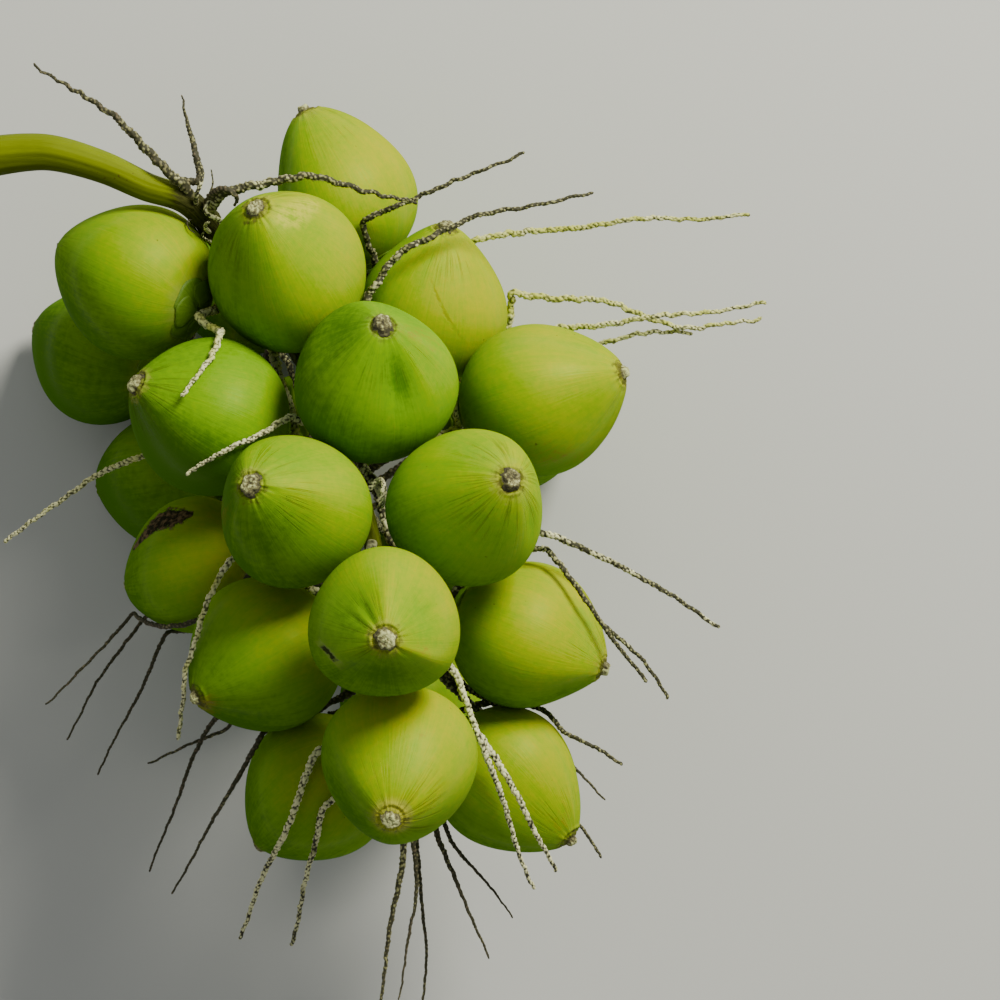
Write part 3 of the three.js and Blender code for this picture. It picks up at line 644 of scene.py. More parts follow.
def tip_stub(centre, axes, form, big, bleached, luck):
    """The style's stub: a short thick knob with a lumpy, broken top."""
    turn = turns(STUB_SIDES)
    theta = np.linspace(0.0001, 0.3, 200)
    skin = husk_radius(theta, 0.0, form, 0.0)
    phase = luck.uniform(0, math.tau, 4)
    waves = zip((0.10, 0.07, 0.05), (2, 5, 9), phase)
    rough = sum(high * np.sin(k * turn + p) for high, k, p in waves)
    lump_turn = luck.uniform(0, math.tau, LUMPS)
    lump_reach = LUMP_REACH * np.sqrt(luck.uniform(0, 1, LUMPS))
    lumps = np.stack([lump_reach * np.cos(lump_turn), lump_reach * np.sin(lump_turn)], 1)
    size = luck.uniform(0.55, 1.25, LUMPS)
    rows, pale = [], []
    for reach, height in STUB_OUTLINE:
        out = reach * (1 + rough)
        at = np.stack([out * np.cos(turn), out * np.sin(turn)], 1)
        near = np.exp(-(((at[:, None] - lumps[None]) ** 2).sum(2) / (1.5 * size) ** 2))
        crumble = np.clip((near * size).max(1), 0, 1.2)
        at, out = at * big, out * big
        # above its foot the stub crumbles and leans a little
        loose = height > FOOT
        lean = 0.12 * loose * (at[:, 0] * math.cos(phase[1]) + at[:, 1] * math.sin(phase[1]))
        up = np.interp(out, skin * np.sin(theta), skin * np.cos(theta)) - 0.5
        up = up + height * (0.93 + 0.05 * np.sin(2 * turn + phase[3]))
        up = up + 1.2 * loose * (crumble - 0.8) + lean
        rows.append(np.column_stack([at, np.minimum(up, skin[0] + TOP_HEIGHT)]))
        # higher lumps, the top and the raised side are paler and the foot darker: partly painted light and
        # shade
        light = 0.05 + bleached + 0.42 * crumble + 0.15 * lean
        light = light - 0.16 * (not loose) + 0.1 * (height > SHOULDER_HEIGHT)
        pale.append(np.clip(light, 0, 1))
    top, foot = (0, 0, skin[0] + 5.0), (0, 0, skin[0] - 9.0)
    points = np.vstack(rows + [top, foot])
    count = len(STUB_OUTLINE) * STUB_SIDES
    faces = quads_between(len(STUB_OUTLINE), STUB_SIDES)
    for j in range(STUB_SIDES):
        k = (j + 1) % STUB_SIDES
        faces += [(count - STUB_SIDES + j, count - STUB_SIDES + k, count), (k, j, count + 1)]
    edge = np.r_[np.concatenate(pale), bleached, 0.0]
    return new_piece("stub", centre + points @ axes, faces, dry_brown, edge=edge)


# The scales of the calyx: points along and across one, how far the inner and the outer three
# reach from the base's pole, in degrees, and how high they lie on the husk, and their least gap
# to the ground.
SCALE_ROWS, SCALE_COLS = 9, 13
WHORLS = ((26, 0.6), (22, 1.6))
GROUND_CLEAR = 0.45


def calyx_scales(centre, axes, form, luck):
    """Six scales round the base, each a thin closed cup."""
    pieces = []
    a, b = np.linspace(0.05, 1, SCALE_ROWS), np.linspace(-1, 1, SCALE_COLS)
    a, b = np.meshgrid(a, b, indexing="ij")
    count = a.size
    grid = np.arange(count).reshape(a.shape)
    ring = np.r_[grid[0], grid[1:, -1], grid[-1, -2::-1], grid[-2:0:-1, 0]].tolist()
    faces = quads_between(SCALE_ROWS, SCALE_COLS, closed=False)
    faces += [[count + corner for corner in face[::-1]] for face in faces]
    faces += [(q, p, count + p, count + q) for p, q in zip(ring, ring[1:] + ring[:1])]
    for whorl, (reach, lift) in enumerate(WHORLS):
        for k in range(3):
            middle = math.radians(120 * k + 60 * whorl + luck.uniform(-7, 7))
            long = math.radians(reach) * luck.uniform(0.93, 1.06)
            half = math.radians(luck.uniform(50, 58))
            back = a * long * np.sqrt(1 - 0.62 * b**4) * (1 + 0.03 * np.sin(7 * b + k))
            phi = middle + half * b * (0.35 + 0.65 * np.sin(a * 1.5))
            theta = math.pi - back
            rim = np.maximum(a, np.abs(b) ** 3)
            # each scale thins towards its rim, which curls up
            under = husk_radius(theta, phi, form, 0.0) + lift - 0.8 + 0.3 * rim**8
            over = under + 1.3 - 0.9 * rim**4
            way = from_centre(theta, phi)
            points = np.vstack([(face[..., None] * way).reshape(-1, 3) for face in (over, under)])
            at = centre + points @ axes
            at[:, 2] = np.maximum(at[:, 2], GROUND_CLEAR)
            fibre = np.tile(on_fibres(theta, phi).reshape(-1, 3), (2, 1))
            edge = np.tile(rim.ravel(), 2)
            pieces.append(new_piece("scale", at, faces, scale_skin, edge=edge, fibre=fibre))
    return pieces


def join(name, pieces):
    bpy.ops.object.select_all(action="DESELECT")
    for piece in pieces:
        piece.select_set(True)
    bpy.context.view_layer.objects.active = pieces[0]
    bpy.ops.object.join()
    joined = bpy.context.object
    joined.name = joined.data.name = name
    bpy.ops.object.mode_set(mode="EDIT")
    bpy.ops.mesh.select_all(action="SELECT")
    bpy.ops.mesh.normals_make_consistent(inside=False)
    bpy.ops.object.mode_set(mode="OBJECT")
    joined.select_set(False)
    return joined


# Brown flushes on eight of the nuts, and pale scuffs, below nought, on two: place from above,
# reach across and along, and strength.
FLUSHES = {
    "c": (((-60, 318), (17, 13), -1.0), ((-44, 330), (12, 9), -0.7)),
    "m": (((42, -264), (15, 14), -1.5), ((71, -188), (6, 4), 0.7)),
    "f": (((205, 82), (38, 16), 0.5),),
    "e": (((58, 202), (22, 11), 0.6), ((80, 184), (12, 14), 0.4)),
    "h": (((-125, 25), (17, 15), 0.6),),
    "j": (((70, -104), (18, 8), 0.55),),
    "l": (((-141, -163), (15, 13), 0.85),),
    "k": (((243, -128), (12, 16), 0.5),),
    "n": (((205, -282), (16, 16), 0.5),),
}
# The corky scar of one nut: the points that it passes, from above, and its half width at each.
SCARRED = "p"
SCAR = np.array((
    (-165, 24, 3), (-175, 22, 7), (-187, 20, 10), (-199, 15, 7), (-212, 4, 4), (-226, -12, 1.5),
), float)

# Folds that run down from the tip of four nuts: turn round the tip, half width, depth, and how
# far from the tip the fold is deepest and reaches. A depth below nought is a swelling.
FOLDS = {
    "e": ((122, 13, 4.2, 0.74, 0.40), (150, 9, -1.6, 0.7, 0.4)),
    "j": (
        (128, 9, 2.2, 0.36, 0.22), (150, 6, 1.2, 0.40, 0.18), (334, 7, -1.6, 0.62, 0.4),
        (205, 8, -1.2, 0.6, 0.35),
    ),
    "h": ((350, 8, -1.6, 0.6, 0.4),),
    "i": ((195, 12, 2.4, 0.6, 0.3),),
}
# How deep the hollows between the ridges are, in millimetres, how pale the stub is, and how large
# it is: most nuts' first, and then the others'.
KEEL, BLEACH, STUB = 2.0, 0.1, 0.95
KEELS = {"c": 3.4, "j": 6.4, "h": 4.6, "e": 4.2, "i": 3.4, "k": 3.2, "m": 2.6, "b": 1.2, "o": 1.2}
BLEACHED = {
    "m": 0.42, "j": 0.34, "h": 0.16, "g": 0.24, "k": 0.4, "f": 0.35, "n": 0.3, "l": 0.3, "a": 0.35,
    "c": 0.22, "e": -0.02, "i": 0.0,
}
STUBS = {
    "a": 0.6, "c": 0.82, "j": 0.88, "m": 0.82, "f": 0.62, "k": 0.6, "n": 0.55, "l": 0.6, "g": 0.88,
    "d": 0.85, "b": 0.6, "p": 0.6,
}


def flush_over(at, outward, flushes):
    """How brown, or below nought how pale, the flushes make each point of a husk."""
    total = np.zeros(len(at))
    for (x, y), (across_it, along_it), strength in flushes:
        near = hump(at[:, 0], x, across_it) * hump(at[:, 1], y, along_it)
        total += strength * near * np.clip(3 * outward[:, 2], 0, 1)
    return total


def scar_over(at, middle_height):
    """How corky each point is: most on the scar's line, a half at its half width."""
    best = np.full(len(at), -9.0)
    for a, b in zip(SCAR, SCAR[1:]):
        start, along = a[:2], b[:2] - a[:2]
        t = np.clip(((at[:, :2] - start) @ along) / (along @ along), 0, 1)
        off = np.linalg.norm(at[:, :2] - start - t[:, None] * along, axis=1)
        best = np.maximum(best, 1 - 0.5 * off / (a[2] + (b[2] - a[2]) * t))
    return np.clip(best, 0, 1) * np.clip(at[:, 2] - middle_height + 20, 0, 1)


nuts = {}
for number, (name, (centre, tip, width, length, roll, gold_and_painted_light)) in enumerate(NUTS.items()):
    luck = np.random.default_rng(100 + number)
    centre, axes, form = np.array(centre, float), nut_axes(tip), (width, length, math.radians(roll))
    nuts[name] = (centre, axes, form)
    keel, folds = KEELS.get(name, KEEL), FOLDS.get(name, ())
    body, at, outward = husk_piece("nut_" + name, centre, axes, form, gold_and_painted_light, keel, folds, luck)
    mark(body, "flush", flush_over(at, outward, FLUSHES.get(name, ())))
    mark(body, "scar", scar_over(at, centre[2]) if name == SCARRED else np.zeros(len(at)))
    stub = tip_stub(centre, axes, form, STUBS.get(name, STUB), BLEACHED.get(name, BLEACH), luck)
    piece = join("nut_" + name, [body, stub] + calyx_scales(centre, axes, form, luck))
    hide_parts("nut_" + name)
    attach(piece, "root")

# The spikelets: wiry, woody branches of the stalk, each with a nut on its side near the base, and
# past the nut a bare end, knobbly where the small flowers stood. They grew from the rachis and
# find their way out among the nuts, and the ends dry from yellow-green to cream and brown.
# One that carries a nut has the nut's name. Each row: the spikelet that it forks from, how dry it
# is, and the points that its bare end passes on the way out.
SPIKELETS = {
    "top_1": (None, 0.85, (-179, 358, 292), (-232, 416, 305), (-321, 474, 300)),
    "top_2": ("top_1", 0.9, (-156, 358, 275), (-167, 411, 262), (-175, 447, 255)),
    "top_3": (None, 0.72, (-129, 346, 300), (-46, 362, 300), (63, 337, 262)),
    "b": (None, 0.2, (-135, 204, 318), (-138, 175, 368), (-167, 140, 400)),
    "q": (None, 0.7, (-157, 120, 165), (-146, 69, 170)),
    "v1": (None, 0.7, (-60, 141, 160), (-39, 89, 165)),
    "a": (None, 0.72, (6, 319, 240), (84, 352, 262), (171, 388, 268)),
    "g": (None, 0.2, (-197, 86, 255), (-265, 62, 240), (-358, -5, 225)),
    "v2": (None, 0.1, (119, 303, 195), (205, 315, 202), (309, 324, 215), (400, 327, 225)),
    "c": (None, 0.72, (8, 235, 305), (46, 286, 312), (125, 322, 302), (240, 346, 290)),
    "r": (None, 1.0, (-148, -24, 140), (-222, -85, 150), (-272, -155, 155), (-300, -209, 155)),
    "d": (None, 0.1, (152, 247, 225), (254, 238, 235), (339, 210, 245), (411, 222, 250)),
    "v4": (None, 0.7, (-14, 7, 150), (2, -55, 160)),
    "e": (None, 0.3, (-61, 120, 355), (-114, 92, 392), (-163, 62, 380)),
    "v3": (None, 0.15, (222, 191, 205), (280, 206, 225), (341, 207, 240)),
    "f": (None, 0.15, (226, 213, 262), (296, 220, 285), (413, 235, 295)),
    "p": (None, 0.95, (-222, -73, 215), (-259, -114, 215), (-316, -170, 220)),
    "h": (None, 0.4, (28, 59, 380), (39, 31, 420)),
    "i": (None, 0.55, (186, 6, 365), (265, -26, 362), (364, -88, 350)),
    "l": (None, 0.25, (-118, -19, 374), (-142, -68, 402), (-163, -149, 375), (-174, -200, 345)),
    "k": (None, 0.65, (191, -10, 350), (225, -54, 372), (291, -143, 350)),
    "v6": (None, 1.0, (-192, -97, 205), (-221, -156, 200), (-265, -243, 195)),
    "low_9": (None, 1.0, (-117, -164, 250), (-143, -184, 245), (-167, -229, 240), (-209, -339, 235)),
    "low_10": ("low_9", 0.8, (-129, -192, 235), (-167, -210, 230), (-212, -229, 225)),
    "v5": (None, 0.7, (254, -90, 280), (287, -119, 290), (314, -162, 290)),
    "v7": (None, 0.85, (62, -323, 205), (71, -416, 212), (67, -475, 215)),
    "j": (None, 0.42, (99, -128, 405), (128, -198, 405), (162, -300, 372), (180, -348, 345)),
    "low_1": (None, 0.95, (-89, -192, 322), (-125, -255, 318), (-183, -357, 290)),
    "low_4": (None, 0.45, (22, -236, 346), (-29, -264, 370), (-38, -308, 352), (-63, -407, 310)),
    "n": (None, 0.7, (206, -191, 312), (242, -208, 315), (268, -227, 310)),
    "o": (None, 0.4, (-33, -208, 370), (-56, -266, 375), (-98, -356, 320), (-115, -401, 300)),
    "low_2": (None, 0.8, (227, -292, 225), (249, -326, 222)),
    "low_3": ("low_2", 0.85, (232, -244, 235), (253, -266, 235)),
    "m": (None, 0.42, (124, -193, 376), (166, -257, 382), (201, -331, 345)),
    "low_5": (None, 0.75, (50, -310, 325), (37, -388, 325), (26, -465, 318)),
    "low_6": ("low_5", 0.9, (60, -312, 305), (62, -362, 305), (44, -462, 300)),
    "low_7": (None, 0.95, (86, -308, 285), (104, -348, 285), (135, -423, 280)),
    "low_8": ("low_7", 1.0, (97, -306, 262), (131, -346, 258), (159, -384, 255)),
}
# Those that grow from the rachis itself, and for each fork the one that it leaves.
MAINS = [name for name, row in SPIKELETS.items() if not row[0]]
FORKS = {name: row[0] for name, row in SPIKELETS.items() if row[0]}
# How they are laid: the step between points, the point where a fork leaves, the rounds of
# settling and how many of them close it, the stretches at the start where one may touch another
# and the stalk, and how far the rod's middle would stand off the base of its nut, were it not
# pressed into the calyx.
STEP, FORK_AT, SETTLE, CLOSING = 9.0, 5, 90, 12
LEAVING, LEAVING_STALK, SEAT, PRESSED_IN = 12.0, 34.0, 4.6, 1.5
# It comes to its seat from so far aside and so far below, and then passes the nut so much further
# from the nut's centre than its base is.
FROM_ASIDE, FROM_BELOW, ROUND_NUT = 26, 7, 12
# The gaps that they keep to a nut, to the stalk, to one another and to the ground.
NUT_GAP, STALK_GAP, GAP, GROUND_GAP = 1.6, 2, 3, 1.5
# Points further than this from a nut's centre, and than this from one another, can't touch, and
# the others push a point no further than this in one round.
NUT_NEAR, NEAR, MOST_AT_ONCE = 110, 32, 4
# Radii at the base, past the nut and at the tip, and a fork's share of them. Then the lengths at
# which it has come down to the second, and from which it thins to the third.
BASE_RADIUS, PAST_NUT, TIP_RADIUS, FORK_SHARE = 5.4, 4.8, 2.2, 0.8
NUT_FROM, NUT_TO = 70, 90


def spikelet_radius(distance, total):
    r = BASE_RADIUS + (PAST_NUT - BASE_RADIUS) * np.minimum(1, distance / NUT_FROM)
    out = np.clip((distance - NUT_TO) / np.maximum(1, total - NUT_TO), 0, None)
    return r + (TIP_RADIUS - r) * out**1.2


def clear_of_nut(nut, p):
    """Distance of points from a nut's husk along the line to its centre, negative inside."""
    centre, axes, form = nut
    q = (p - centre) @ axes.T
    r = np.linalg.norm(q, axis=1)
    theta = np.arccos(np.clip(q[:, 2] / np.maximum(r, 1e-9), -1, 1))
    return r - husk_radius(theta, np.arctan2(q[:, 1], q[:, 0]), form)


def push_off_nuts(points, radius, gap, free):
    """Moves the free points away from each nut until the rod there clears the husk by the gap."""
    for nut in nuts.values():
        q = np.where((np.abs(points - nut[0]).max(1) < NUT_NEAR) & free)[0]
        need = radius[q] + gap - clear_of_nut(nut, points[q])
        q, need = q[need > 0], need[need > 0]
        points[q] += unit(points[q] - nut[0]) * need[:, None]


def first_course(start, ends, nut):
    """From the stalk to the nut's calyx, along it and round the nut, then out by the ends."""
    stops, kinds = [start], ["fixed"]
    if nut:
        centre, axes, form = nut
        w = axes[2]
        back = float(husk_radius(np.array(math.pi), np.array(0.0), form))
        pole = centre - w * (back + SEAT - PRESSED_IN)
        aside = ends[0] - pole
        aside = unit(aside - w * (aside @ w))
        round_nut = unit(unit(ends[0] - centre) - w + 0.4 * aside)
        stops += [pole - aside * FROM_ASIDE - w * FROM_BELOW, pole, centre + round_nut * (back + ROUND_NUT)]
        kinds += ["free", "fixed", "free"]
    stops += list(ends)
    kinds += ["drawn"] * len(ends)
    points, marks = [stops[0]], ["fixed"]
    for a, b, kind in zip(stops, stops[1:], kinds[1:]):
        parts = max(2, round(float(np.linalg.norm(b - a)) / STEP))
        points += [a + (b - a) * i / parts for i in range(1, parts + 1)]
        marks += ["free"] * (parts - 1) + [kind]
    return np.array(points), marks


# Spots on the middle line of the bare stalk and of the rachis: the spikelets keep off all of them
# and grow from the second kind.
BARE_SPOTS, RACHIS_SPOTS = 40, 80
rachis_spots = even_steps(stalk_line, RACHIS_SPOTS, junction, 1)
stalk_spots = np.vstack([even_steps(stalk_line, BARE_SPOTS, 0, junction), rachis_spots])
spot_shares = np.r_[np.linspace(0, junction, BARE_SPOTS + 1), np.linspace(junction, 1, RACHIS_SPOTS + 1)]
spot_radius = stalk_radius(spot_shares, junction)

# The courses, then of every point whether it may move, whose it is, how thick the rod is there and
# how far along it lies, and each spikelet's first point.
courses, marks, owner, radii, gone, first = {}, [], [], [], [], {}
for number, (name, (fork, dry, *ends)) in enumerate(SPIKELETS.items()):
    ends = [np.array(e, float) for e in ends]
    if fork:
        start, before, share = courses[fork][FORK_AT], FORK_AT * STEP, FORK_SHARE
    else:
        # the others leave the rachis at even steps, one after the other
        up_rachis = (MAINS.index(name) + 0.7) / (len(MAINS) + 1.2)
        start, before, share = rachis_spots[round(up_rachis * RACHIS_SPOTS)], 0.0, 1
    points, kinds = first_course(start, ends, nuts.get(name))
    first[name] = len(owner)
    courses[name] = points
    marks += kinds
    owner += [number] * len(points)
    distance = before + lengths_along(points)
    radii.append(spikelet_radius(distance, distance[-1]) * share)
    gone.append(distance)

# Each round straightens them as stiff strands, draws their bare ends home, and pushes them off
# the nuts, off the stalk, off one another and off the ground.
P = np.vstack(list(courses.values()))
home = P.copy()
marks, owner, radii, gone = np.array(marks), np.array(owner), np.concatenate(radii), np.concatenate(gone)
fixed, drawn = marks == "fixed", marks == "drawn"
order = np.arange(len(P))
i1, i2 = np.maximum(order - 1, 0), np.maximum(order - 2, 0)
j1, j2 = np.minimum(order + 1, len(P) - 1), np.minimum(order + 2, len(P) - 1)
inner = (owner == owner[i1]) & (owner == owner[j1]) & (order > 0) & (order < len(P) - 1)
deep = inner & (owner == owner[i2]) & (owner == owner[j2])
names = list(SPIKELETS)
group = np.array([names.index(FORKS.get(names[k], names[k])) for k in owner])
for turn_no in range(SETTLE):
    closing = turn_no >= SETTLE - CLOSING
    lap = 0.5 * (P[i1] + P[j1]) - P
    beam = (4 * (P[i1] + P[j1]) - P[i2] - P[j2]) / 6 - P
    move = np.where(deep[:, None], 0.45 * beam + 0.08 * lap, np.where(inner[:, None], 0.4 * lap, 0.0))
    move[fixed] = 0
    P += move * (0.35 if closing else 1.0)
    P[drawn] += 0.3 * (home[drawn] - P[drawn])
    push_off_nuts(P, radii, NUT_GAP, ~fixed)
    if turn_no % 3 == 0 or closing:
        away = P[:, None] - stalk_spots[None]
        far = np.linalg.norm(away, axis=2)
        k = far.argmin(1)
        need = spot_radius[k] + radii + STALK_GAP - far[order, k]
        q = np.where((need > 0) & (gone > LEAVING_STALK) & ~fixed)[0]
        P[q] += unit(away[q, k[q]]) * need[q][:, None]
    if turn_no % 10 == 0 or turn_no == SETTLE - CLOSING:
        near = ((P[:, None] - P[None]) ** 2).sum(2) < NEAR**2
        near &= (group[:, None] != group[None]) & (gone[:, None] > LEAVING) & (gone[None] > LEAVING)
        one, other = np.where(np.triu(near, 1))
    away = P[one] - P[other]
    push = np.maximum(0, (radii[one] + radii[other] + GAP - np.linalg.norm(away, axis=1)) / 2)
    move = np.zeros_like(P)
    np.add.at(move, one, unit(away) * push[:, None])
    np.add.at(move, other, -unit(away) * push[:, None])
    move *= np.minimum(1, MOST_AT_ONCE / np.maximum(np.linalg.norm(move, axis=1), 1e-9))[:, None]
    move[fixed] = 0
    P += move
    P[:, 2] = np.maximum(P[:, 2], radii + GROUND_GAP)
    for fork, main in FORKS.items():
        P[first[fork]] = P[first[main] + FORK_AT]

# Spikelet skin: woody, its knobs yellow-green, then cream, then brown as they dry, dark and sunk
# between them, the dark partly the pits' own colour and partly painted shade in the hollows.
spike_skin, tree, shader, place = new_material("spikelet_skin")
grain = noise(tree, place, 420.0, 4.0, 0.6)
dry = ruffled(tree, kept(tree, "dry"), noise(tree, place, 60.0), 0.8)
top = shades(
    tree, dry, (0.56, 0.58, 0.10),
    (0.05, 0.4, (0.82, 0.80, 0.44)),
    (0.48, 0.75, (0.30, 0.29, 0.12)),
    (0.80, 1.05, (0.12, 0.09, 0.05)),
)
pit_and_shade = shades(
    tree, dry, (0.10, 0.11, 0.012),
    (0.1, 0.5, (0.030, 0.028, 0.010)),
    (0.5, 0.8, (0.036, 0.034, 0.010)),
)
shade = ruffled(tree, kept(tree, "knob"), grain, 0.4)
shade = maths(tree, "SUBTRACT", shade, spread(tree, dry, 0.45, 0.75, -0.12, 0.18))
colour = blend(tree, spread(tree, shade, 0.10, 0.50), pit_and_shade, top)
finish(tree, shader, colour, 0.74, grain, 0.6, 0.0007)

# The knobs stand in a close spiral: the points round the rod, and the length and the turn from one
# knob to the next. Then how many on either side can reach a point, and how many there are to
# spare, before the start and in all.
ROD_SIDES, PITCH, KNOB_TURN = 20, 0.73, 2.39996
KNOBS_NEAR, SPARE_BEFORE, SPARE = 11, 18, 40
# A rod is smooth up to the first length, and knobbly all over the second one further on. The last
# is the least gap that its finished bends keep to a nut.
SMOOTH, SMOOTH_FORK = (18, 16), (4, 8)
LAST_GAP = 0.6


def spikelet_piece(name, points, r_start, dry, luck, kinked=0.0, short=0.0):
    """A spikelet's rod: smooth near the stalk, then set all round with knobs and pits."""
    line = smooth_line(points, per_span=14)
    total = lengths_along(line)[-1]
    parts = int(total)
    line = even_steps(line, parts)
    s = np.linspace(0, total, parts + 1)
    smooth, over = SMOOTH_FORK if r_start else SMOOTH
    out = np.clip((s - smooth) / over, 0, 1)
    # the bare end wavers from knob to knob and bends a little as it dries
    side, up = across(line)
    p = luck.uniform(0, math.tau, 6)
    waver = 0.25 * np.sin(s / 1.6 + p[0]) + 0.45 * np.sin(s / 4.1 + p[4]) + 1.5 * np.sin(s / 19 + p[1])
    sway = 0.25 * np.cos(s / 1.7 + p[2]) + 0.45 * np.sin(s / 3.7 + p[5]) + 1.5 * np.sin(s / 23 + p[3])
    ease = (1.1 - 0.6 * dry) * np.clip((s - 30) / 60, 0, 1) * np.clip((total - s) / 4, 0.3, 1)
    line = line + side * (waver * ease)[:, None] + up * (sway * ease)[:, None]
    # and the upper ones are kinked where each flower stood
    zigzag = kinked * np.arcsin(np.sin(s / 3.4 + 1.8 * np.sin(s / 21 + p[0]))) * np.clip((s - 40) / 50, 0, 1)
    dip = 0.7 * kinked * np.sin(s / 5.3 + p[2]) * (s > 60)
    line = line + side * zigzag[:, None] + up * dip[:, None]
    thick = spikelet_radius(s + r_start, total + r_start) * (FORK_SHARE if r_start else 1)
    if short:
        thick = short * (1 - 0.45 * s / total)
    # the driest have shrunk to little more than a wire at the end
    shrunk = 0.1 + 0.4 * np.clip((dry - 0.6) / 0.35, 0, 1)
    thick = thick * (1 - shrunk * np.clip((s - 60) / (total - 60), 0, 1))
    push_off_nuts(line, thick, LAST_GAP, out > 0)
    # knobs come and go in size and place, with a pit under many of them
    turn = turns(ROD_SIDES)[None]
    apart = np.sqrt(5.3 * thick)[:, None]
    count = int(total / PITCH) + SPARE
    shift, aside = luck.normal(0, 0.8, count), luck.normal(0, 0.8, count)
    size, deep = luck.uniform(0.45, 1.15, count), np.clip(luck.uniform(-0.8, 1.4, count), 0, 1)
    beads, pits = np.zeros((2, parts + 1, ROD_SIDES))
    here = np.round(s / PITCH).astype(int)[:, None]
    for k in range(-KNOBS_NEAR, KNOBS_NEAR + 1):
        n = here + k
        j = np.clip(n + SPARE_BEFORE, 0, count - 1)
        ds = s[:, None] - PITCH * n - shift[j]
        dphi = wrapped(turn - n * KNOB_TURN) * thick[:, None] - aside[j]
        beads = np.maximum(beads, size[j] * np.exp(-(ds**2 + dphi**2) / (0.40 * apart) ** 2))
        pits = np.maximum(pits, deep[j] * np.exp(-((ds + 0.5 * apart) ** 2 + dphi**2) / 1.1**2))
    o = out[:, None]
    wave = np.sin(3 * turn + p[0]) * (1 - o)
    radius = thick[:, None] * (1 - 0.20 * o + 0.04 * wave + o * (0.44 * beads - 0.16 * pits))
    # the tip is round
    end = np.clip((total - s) / thick[-1], 0, 1)[:, None]
    radius = radius * np.sqrt(np.maximum(0.06, 1 - (1 - end) ** 2))
    piece = rod(name, line, radius, spike_skin)
    # the colour follows the height, pale on the knobs and dark low down: partly painted shade
    high = (0.55 + 0.2 * wave) * (1 - o) + o * (0.02 + 1.05 * beads - 0.8 * pits)
    mark(piece, "knob", np.r_[np.clip(high, 0, 1).ravel(), 0.6, 0.4])
    aging = dry * (0.8 + 0.2 * out) + 0.12 * np.clip(s / total, 0, 1) ** 2 + 0.25 * (1 - out)
    mark(piece, "dry", np.r_[np.repeat(aging, ROD_SIDES), dry, dry])
    return piece


# How far the kinks of the upper ones stand out, most spikelets' first.
KINK = 0.15
KINKED = {
    "top_1": 0.9, "top_2": 0.9, "top_3": 0.8, "a": 0.9, "c": 1.0, "d": 0.6, "f": 0.5, "v2": 0.6,
    "v3": 0.5, "b": 0.5,
}
made = {}
for number, (name, (fork, dry, *ends)) in enumerate(SPIKELETS.items()):
    course = P[first[name]:first[name] + len(courses[name])]
    luck = np.random.default_rng(500 + number)
    r_start, kinked = FORK_AT * STEP if fork else 0, KINKED.get(name, KINK)
    made[name] = spikelet_piece("spikelet_" + name, course, r_start, dry, luck, kinked)
for name in MAINS:
    forks = [made[fork] for fork, main in FORKS.items() if main == name]
    piece = join("spikelet_" + name, [made[name]] + forks) if forks else made[name]
    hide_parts("spikelet_" + name)
    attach(piece, "root")

# The rachis: the stalk's last stretch, as solid and fibrous as the stalk but dull and dark, partly worn
# bark and partly painted shade, hidden among the nuts. It swells under each spikelet that grew from it,
# and is covered in small scars.
line, s, turn, radius = stalk_piece(junction, 1.0, sides=48, step=1.8)
side, up = across(line)
for name in MAINS:
    root, then = P[first[name]], P[first[name] + 2]
    nearest = np.linalg.norm(line - root, axis=1).argmin()
    lean = math.atan2((then - root) @ up[nearest], (then - root) @ side[nearest])
    gap = (s - s[nearest])[:, None]
    radius = radius + 3.2 * hump(gap, 3, 9) * np.clip(np.cos(turn - lean), 0, 1) ** 2
SCARS = 150
luck = np.random.default_rng(900)
for spot in luck.uniform(0, s[-1] - s[0], SCARS):
    gap = (s - s[0] - spot)[:, None] / luck.uniform(1.6, 4.5)
    lean = wrapped(turn - luck.uniform(0, math.tau))
    radius = radius + luck.uniform(0.5, 1.6) * hump(gap, 0, 1) * hump(lean, 0, 0.32)
rachis = rod("rachis", line, radius, stalk_skin)
far = mark_fibres(rachis, s, turn)
mark(rachis, "worn", 0.45 + 0.75 * hump(far, far.min(), 75))
# coloured darker than the stalk and lighter where it faces the key light: painted shade and light
mark(rachis, "sunned_and_painted_light", 0.5 * facing_sun(rachis) - 0.03)

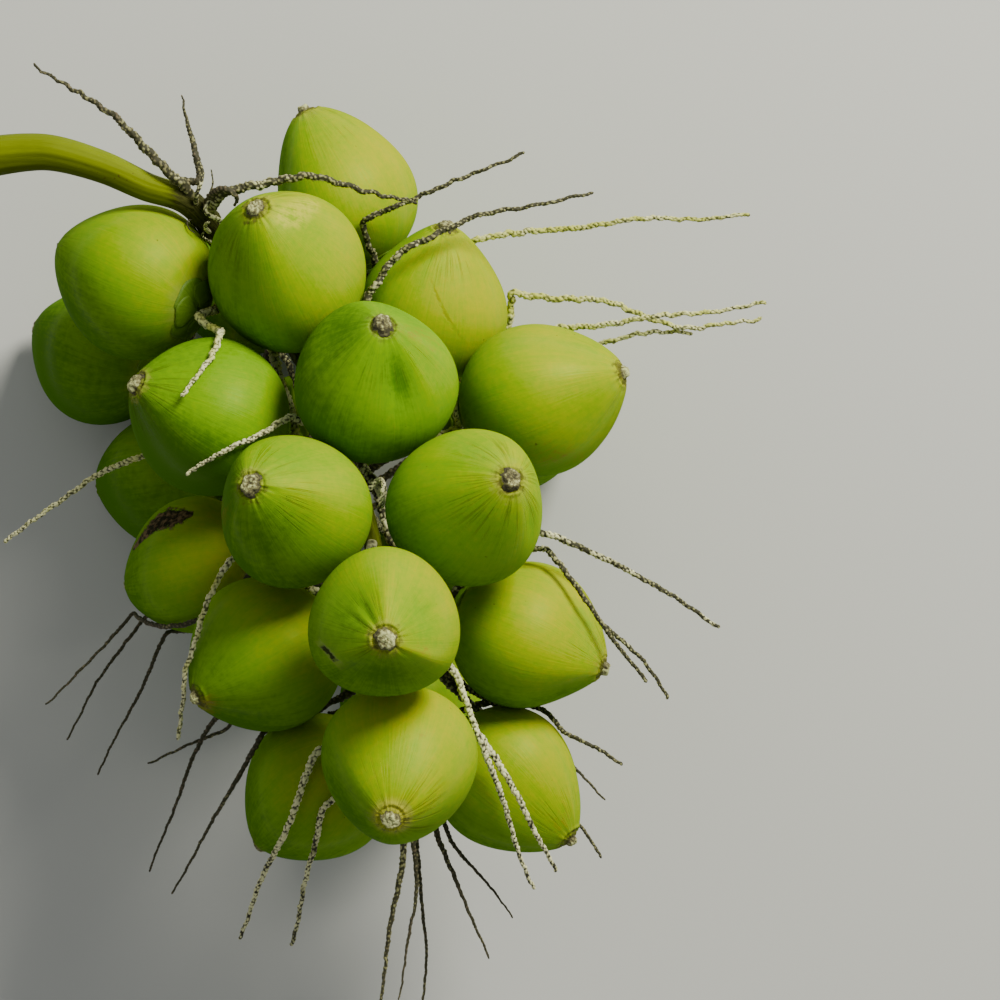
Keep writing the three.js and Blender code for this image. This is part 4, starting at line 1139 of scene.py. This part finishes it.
# Stubs of spikelets that withered young, most of them curled up where the stalk turns into the
# rachis, and a few deeper in: how dry each is, how thick, and its course.
STUBS_LEFT = (
    (0.40, 2.9, (-133, 302, 246), (-132, 313, 266), (-137, 320, 278), (-144, 323, 284),
     (-149, 328, 288), (-147, 335, 288), (-141, 338, 284), (-135, 336, 276)),
    (1.0, 5.0, (-150, 332, 264), (-143, 343, 290), (-133, 348, 306), (-123, 346, 312),
     (-117, 339, 308), (-120, 332, 300)),
    (0.45, 3.0, (-146, 308, 250), (-150, 311, 268), (-149, 315, 279), (-145, 317, 285)),
    (0.62, 2.8, (-160, 332, 272), (-158, 344, 290), (-153, 356, 295), (-152, 368, 290), (-157, 378, 286)),
    (0.8, 2.2, (-152, 328, 268), (-146, 343, 284), (-142, 356, 287), (-144, 370, 284)),
    (1.0, 2.2, (-160, 322, 266), (-168, 318, 274), (-166, 310, 280), (-160, 306, 280)),
    (0.5, 2.1, (-140, 296, 240), (-149, 300, 258), (-154, 304, 264), (-151, 309, 270)),
    (0.9, 5.2, (4, 44, 258), (16, 51, 268), (28, 59, 275), (39, 67, 279), (51, 76, 280), (60, 86, 276)),
    (0.7, 4.4, (16, 30, 258), (30, 38, 262), (42, 48, 268), (50, 60, 272)),
    (1.0, 4.8, (4, 58, 256), (15, 68, 267), (26, 75, 273), (38, 81, 274), (50, 86, 268)),
    (1.0, 6.4, (38, -122, 287), (20, -138, 284), (3, -150, 279), (-13, -160, 273),
     (-27, -167, 266), (-38, -176, 258)),
    (0.85, 4.6, (40, -134, 290), (22, -150, 274), (5, -163, 264), (-12, -173, 262), (-28, -176, 270)),
)
stubs = [rachis]
for number, (dry, thick, *course) in enumerate(STUBS_LEFT):
    luck = np.random.default_rng(950 + number)
    stubs.append(spikelet_piece("stub", course, FORK_AT * STEP, dry, luck, short=thick))
rachis = join("rachis", stubs)
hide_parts("rachis")
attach(rachis, "root")

# Floor, light and camera: a plain pale floor, a broad soft key from the upper right, and the
# photograph's long, narrow view, straight down on the bunch as it lies.
bpy.ops.mesh.primitive_plane_add(size=16, location=(0, 0, 0))
floor = bpy.context.object
floor.name = "floor"
pale, _, shader, _ = new_material("floor_pale")
shader.inputs["Base Color"].default_value = (0.62, 0.62, 0.60, 1)
shader.inputs["Roughness"].default_value = 0.9
floor.data.materials.append(pale)


# The middle of the bunch, which both lamps point at.
MIDDLE = (0, 0, 0.25)


def soft_light(name, place, size, watts, tint):
    lamp = bpy.data.lights.new(name, "AREA")
    lamp.shape, lamp.size, lamp.energy, lamp.color = "DISK", size, watts, tint
    holder = bpy.data.objects.new(name, lamp)
    holder.location = place
    x, y, z = np.array(place) - np.array(MIDDLE)
    holder.rotation_euler = (math.atan2(math.hypot(x, y), z), 0, math.atan2(x, -y))
    bpy.context.scene.collection.objects.link(holder)


soft_light("key", (2.25, 3.11, 3.06), size=1.9, watts=350, tint=(1.0, 0.985, 0.86))
soft_light("fill", (-2.4, -0.8, 3.0), size=3.0, watts=5, tint=(0.97, 1.0, 0.97))
world = bpy.data.worlds.new("room")
bpy.context.scene.world = world
world.use_nodes = True
sky = world.node_tree.nodes["Background"]
sky.inputs["Color"].default_value = (0.97, 1.0, 0.98, 1)
sky.inputs["Strength"].default_value = 0.29

# The view is a metre wide where it is five metres away, at the bunch's mid height.
VIEW_WIDTH, VIEW_DISTANCE, MID_HEIGHT = 1.0, 5.0, 0.3
eye = bpy.data.cameras.new("photo_view")
eye.angle = 2 * math.atan(VIEW_WIDTH / 2 / VIEW_DISTANCE)
camera = bpy.data.objects.new("photo_view", eye)
camera.location = (0.146, 0.038, MID_HEIGHT + VIEW_DISTANCE)
bpy.context.scene.collection.objects.link(camera)
bpy.context.scene.camera = camera
